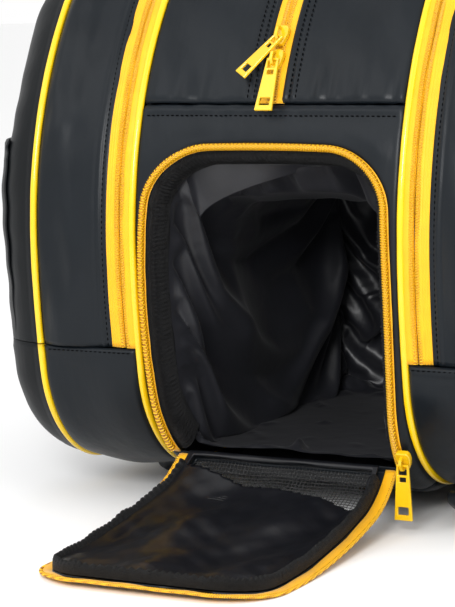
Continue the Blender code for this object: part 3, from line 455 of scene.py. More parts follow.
seam_place = float(front_place(centre_line, TOP_SEAM_HEIGHT))
top_run, top_lengths = even(centre_line, seam_place + SEAM_SHARE, 12 - seam_place - SEAM_SHARE, 0.003)
for name, sign in (("left", -1), ("right", 1)):
    across = ZIP_HALF_WIDTH + (CENTRE_EDGE - ZIP_HALF_WIDTH) * (1 - np.cos(np.linspace(0, math.pi, 70))) / 2
    x, place = np.meshgrid(sign * across, top_run)
    run = np.broadcast_to(top_lengths[:, None], x.shape)
    rise = edge_roll(np.abs(x) - ZIP_HALF_WIDTH, 0.0022, 0.0012) + edge_roll(CENTRE_EDGE - np.abs(x))
    rise += edge_roll(run, 0.0025, 0.0014) + edge_roll(top_lengths[-1] - run, 0.0025, 0.0014)
    rise += 0.0008 * ridge(np.abs(x) - ZIP_HALF_WIDTH - 0.002, 0.0016)
    for row in TOP_STITCH_ROWS:
        rise -= 0.00035 * ridge(np.abs(x) - ZIP_HALF_WIDTH - row, 0.0011)
    soft = fade(np.abs(x) - ZIP_HALF_WIDTH - 0.012, 0.02) * fade(CENTRE_EDGE - np.abs(x), 0.015)
    rise += 0.0011 * soft * ripples(x, run, 11 + sign, 0.075, heading=0.2, spread=0.7)
    pucker = ridge(run, 0.022) * fade(np.abs(x) - ZIP_HALF_WIDTH, 0.01)
    rise += 0.0007 * pucker * ripples(x, run * 0.2, 21 + sign, 0.014, spread=0.3)
    points, out = section(x, place, rise)
    panel = thicken(grid_piece(f"top_panel_{name}_cover", points, out), PANEL_THICKNESS)
    dress(panel, leatherette, "bag", "black_leatherette", f"top_panel_{name}")
    rows = [row_along(centre_line, sign * (ZIP_HALF_WIDTH + row), seam_place + 0.03, 12 - seam_place - 0.03,
                      0.0002, section) for row in TOP_STITCH_ROWS]
    stitches(f"top_panel_{name}_stitching", *several(rows), "bag")

rear_run, rear_lengths = even(centre_line, 12 - seam_place, 12 - TOE_SEAM, 0.004)
x, place = np.meshgrid(np.linspace(-CENTRE_EDGE, CENTRE_EDGE, 90), rear_run)
run = np.broadcast_to(rear_lengths[:, None], x.shape)
rise = edge_roll(CENTRE_EDGE - np.abs(x)) + edge_roll(run) + edge_roll(rear_lengths[-1] - run)
rise += 0.0012 * fade(CENTRE_EDGE - np.abs(x), 0.03) * ripples(x, run, 31, 0.09, spread=0.9)
points, out = section(x, place, rise)
dress(thicken(grid_piece("rear_panel_cover", points, out), PANEL_THICKNESS), leatherette, "bag",
      "black_leatherette", "centre_rear_panel")

bottom_run, bottom_lengths = even(centre_line, SEAM_SHARE - TOE_SEAM, TOE_SEAM - SEAM_SHARE, 0.006)
x, place = np.meshgrid(np.linspace(-CENTRE_EDGE, CENTRE_EDGE, 50), bottom_run)
run = np.broadcast_to(bottom_lengths[:, None], x.shape)
rise = edge_roll(CENTRE_EDGE - np.abs(x)) + edge_roll(run) + edge_roll(bottom_lengths[-1] - run)
points, out = section(x, place, rise + 0.0006 * ripples(x, run, 33, 0.08))
dress(thicken(grid_piece("bottom_panel_cover", points, out), PANEL_THICKNESS), leatherette, "bag",
      "black_leatherette", "centre_bottom_panel")


# ---- Front end panel ----
# The centre section's front end, one piece of the same coated fabric with an arch-shaped opening cut for the
# shoe pocket. Its edges are folded in along the opening, at both piped seams and at the seam under the top
# panels, where a row of topstitching runs just below the fold.
HINGE_HEIGHT = 0.0385
POCKET_TOP = 0.2500
POCKET_HALF_WIDTH = 0.0805
POCKET_BOW = 0.0035
POCKET_CROWN = 0.003
POCKET_CORNER_RADIUS = 0.038
POCKET_TAPE_WIDTH = 0.0080
GAP = 0.0003


def arch_line(inset, foot=HINGE_HEIGHT):
    """(x, z) of the pocket's arch moved inwards: up the left side, round the corners and down the right.

    Straight sides, quarter circles and a straight top, whose sides then bow out by a half sine of the height
    and whose top rises as a parabola across it.
    """
    half, top = POCKET_HALF_WIDTH - inset, POCKET_TOP - inset
    radius = max(POCKET_CORNER_RADIUS - inset, 0.004)
    angle = np.linspace(math.pi, math.pi / 2, 80)
    x = np.concatenate([np.full(120, -half), -half + radius + radius * np.cos(angle),
                        np.linspace(-half + radius, 0, 60)[1:]])
    z = np.concatenate([np.linspace(foot, top - radius, 121)[:-1], top - radius + radius * np.sin(angle),
                        np.full(59, top)])
    x, z = np.concatenate([x, -x[-2::-1]]), np.concatenate([z, z[-2::-1]])
    rise = np.clip((z - HINGE_HEIGHT) / (POCKET_TOP - HINGE_HEIGHT), 0, 1)
    z = z + POCKET_CROWN * np.clip(1 - (x / POCKET_HALF_WIDTH) ** 2, 0, 1) * rise ** 4
    return x + np.sign(x) * POCKET_BOW * np.sin(math.pi * rise), z


MOUTH_DROP = 0.0068
MOUTH_LEFT_SHIFT = 0.0035


def mouth(x, z):
    """The sewn arch as it hangs in use: its crown sags and its left side is pulled out."""
    rise = np.clip((z - HINGE_HEIGHT) / (POCKET_TOP - HINGE_HEIGHT), 0, 1.05)
    left = fade(-x, 0.07) * np.sin(math.pi * np.clip(rise, 0, 1)) ** 0.5
    return x - MOUTH_LEFT_SHIFT * left, z - MOUTH_DROP * rise ** 4


def arch(inset, spacing, foot=HINGE_HEIGHT):
    """The arch at one inset, at points that lie an equal length apart on the opening's own edge."""
    x0, z0 = arch_line(0.0, foot)
    run = np.concatenate([[0], np.cumsum(np.hypot(np.diff(x0), np.diff(z0)))])
    lengths = np.linspace(0, run[-1], int(round(run[-1] / spacing)) + 1)
    x, z = arch_line(inset, foot)
    x, z = mouth(x, z)
    return np.interp(lengths, run, x), np.interp(lengths, run, z), lengths


def on_front(x, z, depth=0.0):
    """Points of the front face at a height, sunk along its normal by a depth, and that normal."""
    return at_x(centre_line, x, front_place(centre_line, z), -depth)


mid_height = 0.150
toe_height = float(np.interp(TOE_SEAM, centre_line["place"], centre_line["z"]))
ring_x, ring_z = mouth(*arch_line(-0.0050))
base_x = np.linspace(ring_x[-1], ring_x[0], 80)[1:-1]
ring_x = np.concatenate([ring_x, base_x])
ring_z = np.concatenate([ring_z, np.full(len(base_x), HINGE_HEIGHT)])
ring_angle = np.arctan2(ring_x, ring_z - mid_height)
order = np.argsort(ring_angle)
corners = [math.atan2(side * CENTRE_EDGE, height - mid_height) for side in (-1, 1)
           for height in (toe_height, TOP_SEAM_HEIGHT)]
angle = np.sort(np.concatenate([np.linspace(-math.pi, math.pi, 420, endpoint=False), corners]))
inner = np.interp(angle, ring_angle[order], np.hypot(ring_x, ring_z - mid_height)[order], period=2 * math.pi)
with np.errstate(divide="ignore"):
    to_side = CENTRE_EDGE / np.abs(np.sin(angle))
    to_end = np.where(np.cos(angle) > 0, TOP_SEAM_HEIGHT - mid_height, mid_height - toe_height)
    to_end = to_end / np.abs(np.cos(angle))
outer = np.minimum(to_side, to_end)
share = (1 - np.cos(np.linspace(0, math.pi, 30)))[None] / 2
radius = inner[:, None] + (outer - inner)[:, None] * share
x, z = radius * np.sin(angle)[:, None], mid_height + radius * np.cos(angle)[:, None]
from_opening = radius - inner[:, None]
to_piping, to_seam = CENTRE_EDGE - np.abs(x), TOP_SEAM_HEIGHT - z
rise = edge_roll(from_opening, 0.0030, 0.0016) + edge_roll(to_piping) + edge_roll(to_seam, 0.003, 0.002)
rise += 0.0007 * ridge(TOP_SEAM_HEIGHT - z - 0.004, 0.002)
pucker = fade(from_opening, 0.008) * ridge(to_seam, 0.02)
rise += 0.0003 * pucker * ripples(x, z * 0.15, 41, 0.017, spread=0.4)
soft = fade(from_opening, 0.012) * fade(to_piping, 0.015) * fade(to_seam - 0.012, 0.02)
rise += 0.0012 * soft * ripples(x, z, 43, 0.07)
points, out = section(x, front_place(centre_line, z), rise)
front = thicken(grid_piece("front_panel_cover", points, out, wrap_rows=True), PANEL_THICKNESS)
dress(front, leatherette, "bag", "black_leatherette", "centre_front_panel")

stitch_x = np.arange(-CENTRE_EDGE + 0.005, CENTRE_EDGE - 0.005, STITCH_PITCH)
stitch_place = front_place(centre_line, TOP_SEAM_HEIGHT - 0.0075 + 0 * stitch_x)
stitch_at, stitch_out = section(stitch_x, stitch_place, 0.0003)
stitches("front_panel_stitching", stitch_at, np.broadcast_to([1.0, 0, 0], stitch_at.shape), stitch_out, "bag")


# ---- Piping ----
# Four runs of cord wrapped in glossy yellow coated fabric, sewn into the seams of the two side compartments.
# Each is a round cord of 4.8 mm with a flat flange that disappears between the panels.
PIPING_RADIUS = 0.0024
PIPING_SINK = 0.0008
INNER_SEAM = 0.0964
OUTER_SEAM = 0.1735
ZIP_END_HEIGHT = 0.113
YELLOW_GLOSS = (0.86, 0.55, 0.002)

glossy_yellow = surface("glossy_yellow_piping", YELLOW_GLOSS, 0.22, tone=0.04, tone_scale=60, coat=0.4,
                        specular=0.5, rough_spread=0.04, bumps=(("noise", 120, (1, 1, 1), 0.00035),))


def piping(name, x, first, last, loop=False):
    """A cord along an outline: a circle of 20 sides whose radius breathes by a few hundredths."""
    places, lengths = even(side_line, first, last, 0.0035)
    if loop:
        places, lengths = places[:-1], lengths[:-1]
    centre, out_way = at_x(side_line, x, places, -PIPING_SINK)
    turns = np.linspace(0, 2 * math.pi, 20, endpoint=False)
    size = PIPING_RADIUS * (1 + 0.035 * ripples(lengths, 0 * lengths, 51, 0.03))[:, None]
    points = centre[:, None] + out_way[:, None] * (size * np.cos(turns))[..., None]
    points = points + np.array([1.0, 0, 0]) * (size * np.sin(turns))[..., None]
    return grid_piece(name, points, points - centre[:, None], wrap_rows=loop, wrap_columns=True, ends=not loop)


low_place = float(front_place(side_line, ZIP_END_HEIGHT - GAP))
high_place = float(front_place(side_line, ZIP_END_HEIGHT + GAP))
for name, sign in (("left", -1), ("right", 1)):
    inner_cord = piping(f"{name}_inner_piping_cord", sign * INNER_SEAM, 0, 12, loop=True)
    dress(inner_cord, glossy_yellow, "bag", "yellow_piping", f"{name}_inner_piping")
    for part, body, first, last in (("lower", "bag", -low_place, low_place),
                                    ("upper", f"{name}_cover", high_place, 12 - high_place)):
        outer_cord = piping(f"{name}_outer_piping_{part}_cord", sign * OUTER_SEAM, first, last)
        dress(outer_cord, glossy_yellow, body, "yellow_piping", f"{name}_outer_piping_{part}")


# ---- Compartment zips ----
# A long spiral zip runs over the top of each racket compartment, from near the foot of the front face to the
# rear. Its woven tapes are bright yellow, with the two coils side by side in the middle under fine ribs, and
# dark thread sews each outer tape edge into the gusset with two rows of stitching.
ZIP_CENTRE = 0.1059
ZIP_INNER_EDGE = 0.0991
ZIP_OUTER_EDGE = 0.1130
TAPE_SINK = 0.0006
COIL_PITCH = 0.0017
COIL_WIDTH = 0.0032
COIL_HEIGHT = 0.0016
COIL_OFFSET = 0.0021
TAPE_EXTRA = 0.0018
YELLOW_WEAVE = (0.88, 0.43, 0.002)

woven_yellow = surface("yellow_zip_tape", YELLOW_WEAVE, 0.5, tone=0.06, tone_scale=90, sheen=0.25, specular=0.4,
                       bumps=(("chevrons", 330, (1, 1, 1), 0.00010), ("noise", 2500, (1, 1, 1), 0.00003)))
# The coil's colour carries painted shade: one dark orange band per thread, in the valleys between the ribs.
SHADE_BANDS_PER_METRE = 20 / (2 * math.pi)
ribbed_yellow = surface("yellow_zip_coil", (1.0, 0.58, 0.002), 0.42, tone=0.05, tone_scale=400,
                        valley_shade=(1 / (COIL_PITCH * SHADE_BANDS_PER_METRE), (0.24, 0.055, 0.0003)))


def strip(name, line, x_edges, place, base, lift, body, slot, columns=24):
    """A tape along an outline between two x edges: its height is base plus lift(share across, length along)."""
    places, lengths = place
    share = np.linspace(0, 1, columns)
    s, u = np.meshgrid(share, lengths)
    x = x_edges[0] + (x_edges[1] - x_edges[0]) * s
    points, out = at_x(line, x, np.broadcast_to(places[:, None], x.shape), base + lift(s, u))
    return dress(grid_piece(name, points, out), woven_yellow, body, slot)


def coil_row(name, line, x_centre, side, first, last, base, body, slot):
    """One coil of a spiral zip under its tape: a low ridge whose height beats once per thread.

    h = height · sqrt(1 − a²) · (0.62 + 0.38 · sharp(cos 2π(u/pitch + slant·a))), where a runs −1…1 across.
    """
    places, lengths = even(line, first, last, COIL_PITCH / 5)
    a = np.array([-1.0, -0.8, -0.4, 0.05, 0.45, 0.8, 1.0])
    s, u = np.meshgrid(a, lengths)
    beat = np.cos(2 * math.pi * (u / COIL_PITCH + 0.30 * side * s))
    h = COIL_HEIGHT * np.sqrt(np.clip(1 - s * s, 0, 1)) * (0.62 + 0.38 * np.sign(beat) * np.abs(beat) ** 0.7)
    h += 0.00025 * ripples(u, 0 * u, 71 + int(side), 0.045)
    x = x_centre + s * COIL_WIDTH / 2 + 0.0002 * ripples(u, 0 * u, 73, 0.06)
    points, out = at_x(line, x, np.broadcast_to(places[:, None], x.shape), base + h)
    return dress(grid_piece(name, points, out), ribbed_yellow, body, slot)


tape_top = -TAPE_SINK + 0.0006
for name, sign in (("left", -1), ("right", 1)):
    span = even(side_line, low_place + 0.004, 12 - low_place - 0.004, 0.004)
    cover_span = even(side_line, high_place + 0.002, 12 - high_place - 0.002, 0.004)
    inner_edges = (sign * (ZIP_INNER_EDGE - 0.0012), sign * (ZIP_CENTRE - 0.0001))
    outer_edges = (sign * (ZIP_CENTRE + 0.0001), sign * (ZIP_OUTER_EDGE + TAPE_EXTRA + 0.0012))

    def body_lift(s, u):
        return (0.0006 * np.sin(math.pi * np.clip(s * 1.1, 0, 1)) - 0.0010 * fade(s - 0.86, 0.14) ** 2
                + 0.0003 * ripples(u, s * 0.007, 75, 0.05))

    def cover_lift(s, u):
        ridges = 0.00022 * np.cos(2 * math.pi * s * 7.1 / 1.4)
        return (0.0008 * np.sin(math.pi * np.clip(s * 0.9 + 0.15, 0, 1)) - 0.0010 * fade(0.14 - s, 0.14) ** 2
                + ridges * fade(s - 0.4, 0.1) + 0.0003 * ripples(u, s * 0.007, 76, 0.05))

    body_tape = strip(f"{name}_body_tape_cloth", side_line, inner_edges, span, tape_top, body_lift, "bag",
                      "yellow_zip_tape")
    thicken(body_tape, 0.0009)
    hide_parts(f"{name}_body_zip_tape")
    cover_tape = strip(f"{name}_cover_tape_cloth", side_line, outer_edges, cover_span, tape_top, cover_lift,
                       f"{name}_cover", "yellow_zip_tape")
    thicken(cover_tape, 0.0009)
    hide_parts(f"{name}_cover_zip_tape")
    coil_row(f"{name}_body_coil", side_line, sign * (ZIP_CENTRE - COIL_OFFSET), sign, low_place + 0.01,
             12 - low_place - 0.01, tape_top + 0.0003, "bag", "yellow_zip_tape")
    coil_row(f"{name}_cover_coil", side_line, sign * (ZIP_CENTRE + COIL_OFFSET), -sign, high_place + 0.004,
             12 - high_place - 0.004, tape_top + 0.0003, f"{name}_cover", "yellow_zip_tape")


# ---- Compartment gussets ----
# The end faces and top of each racket compartment, of the same coated fabric over thin foam. The upper gusset
# lifts with the cover; the lower one is a separate patch under the end of the zip, with its top edge folded
# over and sewn down. Two rows of topstitching follow the zip.
GUSSET_INNER_EDGE = 0.1133
GUSSET_OUTER_EDGE = 0.1708
GUSSET_CROWN = 0.0030
HEM_RISE = 0.0030
HEM_STITCH_PLACE = 0.006 / 0.075 * 0.4
GUSSET_STITCH_ROWS = (0.0042, 0.0092)

for name, sign in (("left", -1), ("right", 1)):
    places, lengths = even(side_line, high_place + 0.001, 12 - high_place - 0.001, 0.0030)
    across = (1 - np.cos(np.linspace(0, math.pi, 56))) / 2
    s, u = np.meshgrid(across, lengths)
    place = np.broadcast_to(places[:, None], s.shape)
    inner_edge = GUSSET_INNER_EDGE + TAPE_EXTRA + 0.0009 * ripples(lengths, 0 * lengths, 80, 0.16)[:, None]
    x = inner_edge + (GUSSET_OUTER_EDGE + 0.0012 - inner_edge) * s
    beside = x - inner_edge
    rise = GUSSET_CROWN * np.sin(math.pi * s) + edge_roll(beside, 0.0022, 0.0012)
    rise = rise + edge_roll(GUSSET_OUTER_EDGE - x, 0.004, 0.0018)
    for row in GUSSET_STITCH_ROWS:
        rise -= 0.00042 * ridge(beside - row, 0.0011)
    rise += 0.0005 * ridge(beside - 0.0067, 0.0014)
    wave = fade(beside - 0.010, 0.018) * fade(GUSSET_OUTER_EDGE - x, 0.008)
    rise += 0.0022 * wave * ripples(x, u, 81 + sign, 0.11, heading=0.25, spread=0.6)
    rise += 0.0006 * wave * ripples(x, u, 84 + sign, 0.028, heading=0.3, spread=1.2)
    points, out = at_x(side_line, sign * x, place, rise)
    cover = thicken(grid_piece(f"{name}_cover_gusset_cloth", points, out), PANEL_THICKNESS)
    dress(cover, leatherette, f"{name}_cover", "black_leatherette", f"{name}_cover_gusset")
    rows = [row_along(side_line, sign * (GUSSET_INNER_EDGE + TAPE_EXTRA + row), high_place + 0.02,
                      12 - high_place - 0.02, 0.0001) for row in GUSSET_STITCH_ROWS]
    stitches(f"{name}_cover_gusset_stitching", *several(rows), f"{name}_cover")

    places, lengths = even(side_line, -low_place, low_place, 0.0030)
    s, u = np.meshgrid(across, lengths)
    place = np.broadcast_to(places[:, None], s.shape)
    x = ZIP_INNER_EDGE - 0.0002 + (GUSSET_OUTER_EDGE + 0.0012 - ZIP_INNER_EDGE + 0.0002) * s
    from_end = np.minimum(u, lengths[-1] - u)
    rise = 0.0026 * np.sin(math.pi * np.clip(s * 1.02, 0, 1)) ** 0.6 + 0.0004
    rise = rise + edge_roll(x - ZIP_INNER_EDGE, 0.003, 0.0016) + edge_roll(GUSSET_OUTER_EDGE - x, 0.004, 0.0018)
    rise += edge_roll(from_end, 0.0016, 0.0011) + 0.0008 * ridge(from_end - 0.0022, 0.0013)
    rise -= 0.0006 * ridge(from_end - 0.0055, 0.0012)
    rise += 0.0011 * fade(from_end, 0.02) * ripples(x, u, 87 + sign, 0.07, spread=0.9)
    points, out = at_x(side_line, sign * x, place, rise)
    patch = thicken(grid_piece(f"{name}_tray_gusset_cloth", points, out), PANEL_THICKNESS)
    dress(patch, leatherette, "bag", "black_leatherette", f"{name}_tray_gusset")
    seam_x = np.arange(ZIP_INNER_EDGE + 0.004, GUSSET_OUTER_EDGE - 0.003, STITCH_PITCH)
    hem = []
    for end in (-1, 1):
        at = low_place * end - end * HEM_STITCH_PLACE
        centres, out = at_x(side_line, sign * seam_x, np.full(len(seam_x), at), HEM_RISE)
        hem.append((centres, np.broadcast_to([1.0, 0, 0], centres.shape), out))
    stitches(f"{name}_tray_gusset_stitching", *several(hem), "bag")


# ---- Compartment side panels ----
# The large outer face of each compartment, one foam-backed skin of coated fabric that swells outwards and rolls
# over into the piped seam. It is cut level with the foot of the zip: the lower strip stays with the tray and
# the upper part lifts as the cover's face, the two joined there by a fold of the same fabric.
SIDE_RIM = 0.1762
SIDE_BULGE = 0.042
SIDE_DOME = 0.003
SIDE_SHOULDER = 0.050


def side_skin(name, sign, lowest, highest, first_inset=-0.0008, lift=0.0, wave_seed=90, wave=0.0016, hem=False):
    """Part of a bulged side between two heights: rings from the piped rim inwards to the middle.

    x = rim + (bulge - dome) * sqrt(1 - (1 - inset / shoulder)^2) up to the shoulder, a shallow dome within it,
    all of it moved out by lift and by soft waves.
    """
    places, lengths = even(side_line, 0, 12, 0.0045)
    places, lengths = places[:-1], lengths[:-1]
    middle = np.array([MIDDLE_Y, (BELLY_HEIGHT + HEIGHT / 2) / 2])
    insets = first_inset + (SIDE_SHOULDER - first_inset) * (1 - np.cos(np.linspace(0, math.pi / 2, 16)))
    rims, swell = [], []
    for inset in insets:
        y, z, _, _ = read(side_line, places, -inset)
        rims.append(np.stack([y, z], -1))
        share = 1 - max(inset, 0) / SIDE_SHOULDER
        swell.append(np.full(len(y), (SIDE_BULGE - SIDE_DOME) * math.sqrt(max(1 - share * share, 0))))
    edge = rims[-1]
    for inward in np.linspace(0, 1, 26)[1:]:
        rims.append(middle + (edge - middle) * (1 - inward * 0.995))
        swell.append(np.full(len(edge), SIDE_BULGE - SIDE_DOME + SIDE_DOME * (1 - (1 - inward) ** 2)))
    rims, swell = np.array(rims), np.array(swell)
    y, z = rims[..., 0], rims[..., 1]
    inside = fade(swell, 0.02)
    rise = wave * inside * ripples(y, z, wave_seed, 0.11, heading=1.2, spread=0.8)
    rise += 0.4 * wave * inside * ripples(y, z, wave_seed + 1, 0.035)
    if hem:
        rise += 0.0012 * ridge(highest - z - 0.003, 0.0025) - 0.0007 * ridge(highest - z - 0.009, 0.0014)
    rise -= 0.0012 * ridge(z - ZIP_END_HEIGHT, 0.003)
    settle = fade(z - lowest, 0.06) if lift else 1.0
    x = sign * (SIDE_RIM + swell + lift * settle + rise)
    made = grid_piece(name, np.stack([x, y, z], -1), np.array([sign, 0.0, 0.0]), wrap_columns=True)
    shape = bmesh.new()
    shape.from_mesh(made.data)
    for height, side in ((lowest, -1), (highest, 1)):
        everything = shape.verts[:] + shape.edges[:] + shape.faces[:]
        bmesh.ops.bisect_plane(shape, geom=everything, plane_co=(0, 0, height), plane_no=(0, 0, side),
                               clear_outer=True)
    shape.to_mesh(made.data)
    shape.free()
    made.data.shade_smooth()
    return thicken(made, PANEL_THICKNESS if not lift else 0.0016)


side_leatherette = surface("side_leatherette", (0.0040, 0.0050, 0.0060), 0.45, tone=0.12, rough_spread=0.05,
                           specular=0.15,
                           bumps=(("noise", 26, (1.6, 1.6, 0.5), 0.0010), ("noise", 900, (1, 1, 1), 0.00003)))
for name, sign in (("left", -1), ("right", 1)):
    upper = side_skin(f"{name}_side_upper_cloth", sign, ZIP_END_HEIGHT + GAP, 1.0, wave_seed=90 + sign)
    dress(upper, side_leatherette, f"{name}_cover", "black_leatherette", f"{name}_side_panel_upper")
    lower = side_skin(f"{name}_side_lower_cloth", sign, -1.0, ZIP_END_HEIGHT - GAP, wave_seed=90 + sign)
    dress(lower, side_leatherette, "bag", "black_leatherette", f"{name}_side_panel_lower")


# ---- Slip pockets ----
# A flat open pocket lies on each side face, one more layer of the same coated fabric sewn down along three
# edges, its top edge hemmed and left open.
SLIP_POCKET_FOOT = 0.119
SLIP_POCKET_TOP = 0.250
for name, sign in (("left", -1), ("right", 1)):
    pouch = side_skin(f"{name}_slip_pocket_cloth", sign, SLIP_POCKET_FOOT, SLIP_POCKET_TOP, first_inset=0.008,
                      lift=0.0032, wave_seed=90 + sign, hem=True)
    dress(pouch, side_leatherette, f"{name}_cover", "black_leatherette", f"{name}_slip_pocket")


# ---- Dividers and base board ----
# Two padded inner walls between the sections and a stiff grey board in the foot of the centre compartment.
# They show only when a compartment is open, so they keep their plain solids.
# The lining satin's colour is painted lighter than its own colour, which the flap's satin keeps, to stand in for
# light inside the shoe pocket; the pocket liner, its loose corner and the dividers wear it.
lightened_lining = surface("black_lining", (0.0135, 0.0140, 0.0175), 0.42, tone=0.15, tone_scale=30, sheen=0.05,
                       specular=0.5, rough_spread=0.05,
                       bumps=(("noise", 40, (1, 1, 1), 0.0007), ("noise", 130, (1, 1, 1), 0.0001)))
grey_board = surface("grey_board", (0.12, 0.12, 0.125), 0.7, tone=0.1,
                     bumps=(("noise", 400, (1, 1, 1), 0.00008),))


def finish_node(node, material):
    """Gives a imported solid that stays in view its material."""
    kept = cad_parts[node]
    kept.data.materials.clear()
    kept.data.materials.append(material)
    return kept


inside = {"divider_left": lightened_lining, "divider_right": lightened_lining, "base_board": grey_board}
for node, cover in inside.items():
    finish_node(node, cover)


# ---- End pocket zip, body half ----
# The arch-shaped zip of the shoe pocket: the half that stays on the front panel, a ribbed yellow tape whose
# coil runs along the edge of the opening.
def arch_band(insets, spacing, foot=HINGE_HEIGHT):
    """x, z, share across and length along of a band that follows the arch, one column for each inset."""
    rings = [arch(inset, spacing, foot) for inset in insets]
    x, z = (np.array([ring[part] for ring in rings]).T for part in (0, 1))
    share, run = np.meshgrid(np.linspace(0, 1, len(insets)), rings[0][2])
    return x, z, share, run


def arch_sheet(name, insets, depth, spacing=0.0022, foot=HINGE_HEIGHT, opened=False):
    """A band along the arch: one column for each inset, sunk by depth(column share, length along)."""
    x, z, s, u = arch_band(insets, spacing, foot)
    points, out = on_front(x, z, depth(s, u))
    if opened:
        points, out = swing(points, out)
    return grid_piece(name, points, out)


HINGE_Y = float(on_front(np.zeros(1), np.full(1, HINGE_HEIGHT))[0][0, 1])
FLAP_OPEN_ANGLE = math.radians(94.1)


def swing(points, outward):
    """Points and their outward ways turned about the hinge line, from the closed flap to the open one."""
    pivot = np.array([0, HINGE_Y, HINGE_HEIGHT])
    c, s = math.cos(FLAP_OPEN_ANGLE), math.sin(FLAP_OPEN_ANGLE)
    turn = np.array([[1, 0, 0], [0, c, s], [0, -s, c]])
    return (points - pivot) @ turn + pivot, outward @ turn


def arch_coil(name, inset, depth, radius, foot, opened, body):
    """A zip coil along the arch: a tube of nine sides whose radius beats once per thread, on a slant."""
    x, z, lengths = arch(inset, COIL_PITCH / 5, foot)
    centre, out = on_front(x, z, depth)
    ahead_way = np.gradient(centre, axis=0)
    ahead_way /= np.linalg.norm(ahead_way, axis=1)[:, None]
    side_way = np.cross(ahead_way, out)
    turns = np.linspace(0, 2 * math.pi, 9, endpoint=False)
    beat = np.cos(2 * math.pi * lengths[:, None] / COIL_PITCH + turns)
    size = radius * (0.80 + 0.20 * np.sign(beat) * np.abs(beat) ** 0.7)
    points = (centre[:, None] + out[:, None] * (size * np.cos(turns))[..., None]
              + side_way[:, None] * (size * np.sin(turns))[..., None])
    outward = points - centre[:, None]
    if opened:
        points, outward = swing(points, outward)
    coil = grid_piece(name, points, outward, wrap_columns=True, ends=True)
    return dress(coil, ribbed_yellow, body, "yellow_zip_tape")


def pocket_tape_depth(s, u):
    wavy = 0.0002 * ripples(u, 0 * u, 101, 0.03)
    return 0.0008 - 0.0003 * np.sin(math.pi * s) + 0.0008 * fade(0.15 - s, 0.15) + wavy


pocket_tape = arch_sheet("pocket_tape_cloth", np.linspace(-0.0060, -0.0003, 14), pocket_tape_depth)
dress(thicken(pocket_tape, 0.0009), woven_yellow, "bag", "yellow_zip_tape", "pocket_zip_tape")
arch_coil("pocket_coil", -0.0026, -0.0012, 0.0025, HINGE_HEIGHT + 0.004, False, "bag")


# ---- End pocket binding ----
# The raw inner edge of the opening is bound with a gathered band of ribbed black tape, puckered by its
# stitching all the way round the arch.
GATHER_SPACING = 0.0009

black_binding = surface("black_binding", (0.0035, 0.0035, 0.0042), 0.6, tone=0.3, tone_scale=260, sheen=0.05,
                        specular=0.2,
                        bumps=(("ribs", 350, (1, 1, 1), 0.0005), ("noise", 260, (1, 1, 1), 0.0006)))
band_inset = np.array([-0.0030, 0.0002, 0.0020, 0.0034, 0.0044, 0.0052, 0.0057, 0.0060, 0.0060, 0.0060, 0.0060,
                       0.0059])
band_depth = np.array([0.0040, 0.0036, 0.0036, 0.0044, 0.0056, 0.0074, 0.0096, 0.0120, 0.0148, 0.0178, 0.0208,
                       0.0238])
x, z, s, u = arch_band(band_inset, GATHER_SPACING)
pucker = np.sin(math.pi * np.clip(s * 1.1, 0, 1))
folds = 0.00070 * np.cos(2 * math.pi * u / 0.0031 + 1.5 * ripples(u, s * 0.01, 111, 0.03))
gather = pucker * (folds + 0.0005 * ripples(u, s * 0.01, 112, 0.02))
points, out = on_front(x, z, band_depth + 0.3 * gather)
points[..., 0] -= np.sign(x) * np.clip(gather, -0.0004, 0.001) * fade(np.abs(x), 0.06)
points[..., 2] -= gather * fade(z - 0.2, 0.04)
inward = np.stack([-x, 0 * x - 0.02, mid_height - z], -1)
band = grid_piece("pocket_binding_cloth", points, inward)
dress(band, black_binding, "bag", "black_lining", "pocket_binding")


# ---- Shoe pocket liner ----
# A roomy sack of thin black satin nylon hung inside the opening, wide as the arch and about 26 cm deep. It is
# loose, so it hangs in long soft folds between the sewn front edge and the back wall.
LINER_DEPTH = 0.262
LINER_FULLNESS = 0.22
LINER_MOST_SHIFT = 0.024
LINER_FRAMES = 30
WALL_ROWS = 60
SEWN = 1.0
mouth_x, mouth_z, _ = arch(0.0060, 0.0042)
floor_x = np.linspace(mouth_x[-1], mouth_x[0], 38)[1:-1]
loop_x = np.concatenate([mouth_x, floor_x])
loop_z = np.concatenate([mouth_z, np.full(len(floor_x), HINGE_HEIGHT)])
start = on_front(loop_x, loop_z, 0.0215)[0]
loop_z = np.maximum(loop_z, HINGE_HEIGHT + 0.0030)
back = np.linspace(0, 1, WALL_ROWS)[:, None]
y = start[None, :, 1] * (1 - back) + (FRONT + MIDDLE_Y + 0.018 + LINER_DEPTH) * back
hold = 1 - 0.05 * np.sin(math.pi * back) - 0.02 * back
x = loop_x[None] * hold
z = mid_height + (loop_z[None] - mid_height) * hold
cap = np.linspace(1, 0.02, 20)[1:, None]
x = np.concatenate([x, x[-1:] * cap])
z = np.concatenate([z, mid_height + (z[-1:] - mid_height) * cap])
y = np.concatenate([y, y[-1:] + 0 * cap])
points = np.stack([x, y, z], -1)
points += 0.0012 * ripples(x + z, y, 121, 0.05)[..., None] * np.array([0.6, 0.6, 0.6])
centre_way = np.stack([-x, 0 * x - 0.01, mid_height - z], -1)
sack = grid_piece("pocket_liner_cloth", points, centre_way, wrap_columns=True)
rows, columns = x.shape
step_round = np.hypot(np.diff(loop_x, prepend=loop_x[0]), np.diff(loop_z, prepend=loop_z[0]))
run_round = np.broadcast_to(np.cumsum(step_round), x.shape)
sewn = sack.vertex_groups.new(name="sewn")
sewn.add(list(range(2 * columns)), SEWN, "REPLACE")
sewn.add(list(range((WALL_ROWS - 1) * columns, WALL_ROWS * columns)), SEWN, "REPLACE")
sewn.add(list(range((rows - 2) * columns, rows * columns)), SEWN, "REPLACE")
cloth = sack.modifiers.new("cloth", "CLOTH")
cloth.settings.quality = 6
cloth.settings.mass = 0.12
cloth.settings.tension_stiffness = 12
cloth.settings.compression_stiffness = 6
cloth.settings.shear_stiffness = 6
cloth.settings.bending_stiffness = 4.0
cloth.settings.air_damping = 4
cloth.settings.vertex_group_mass = "sewn"
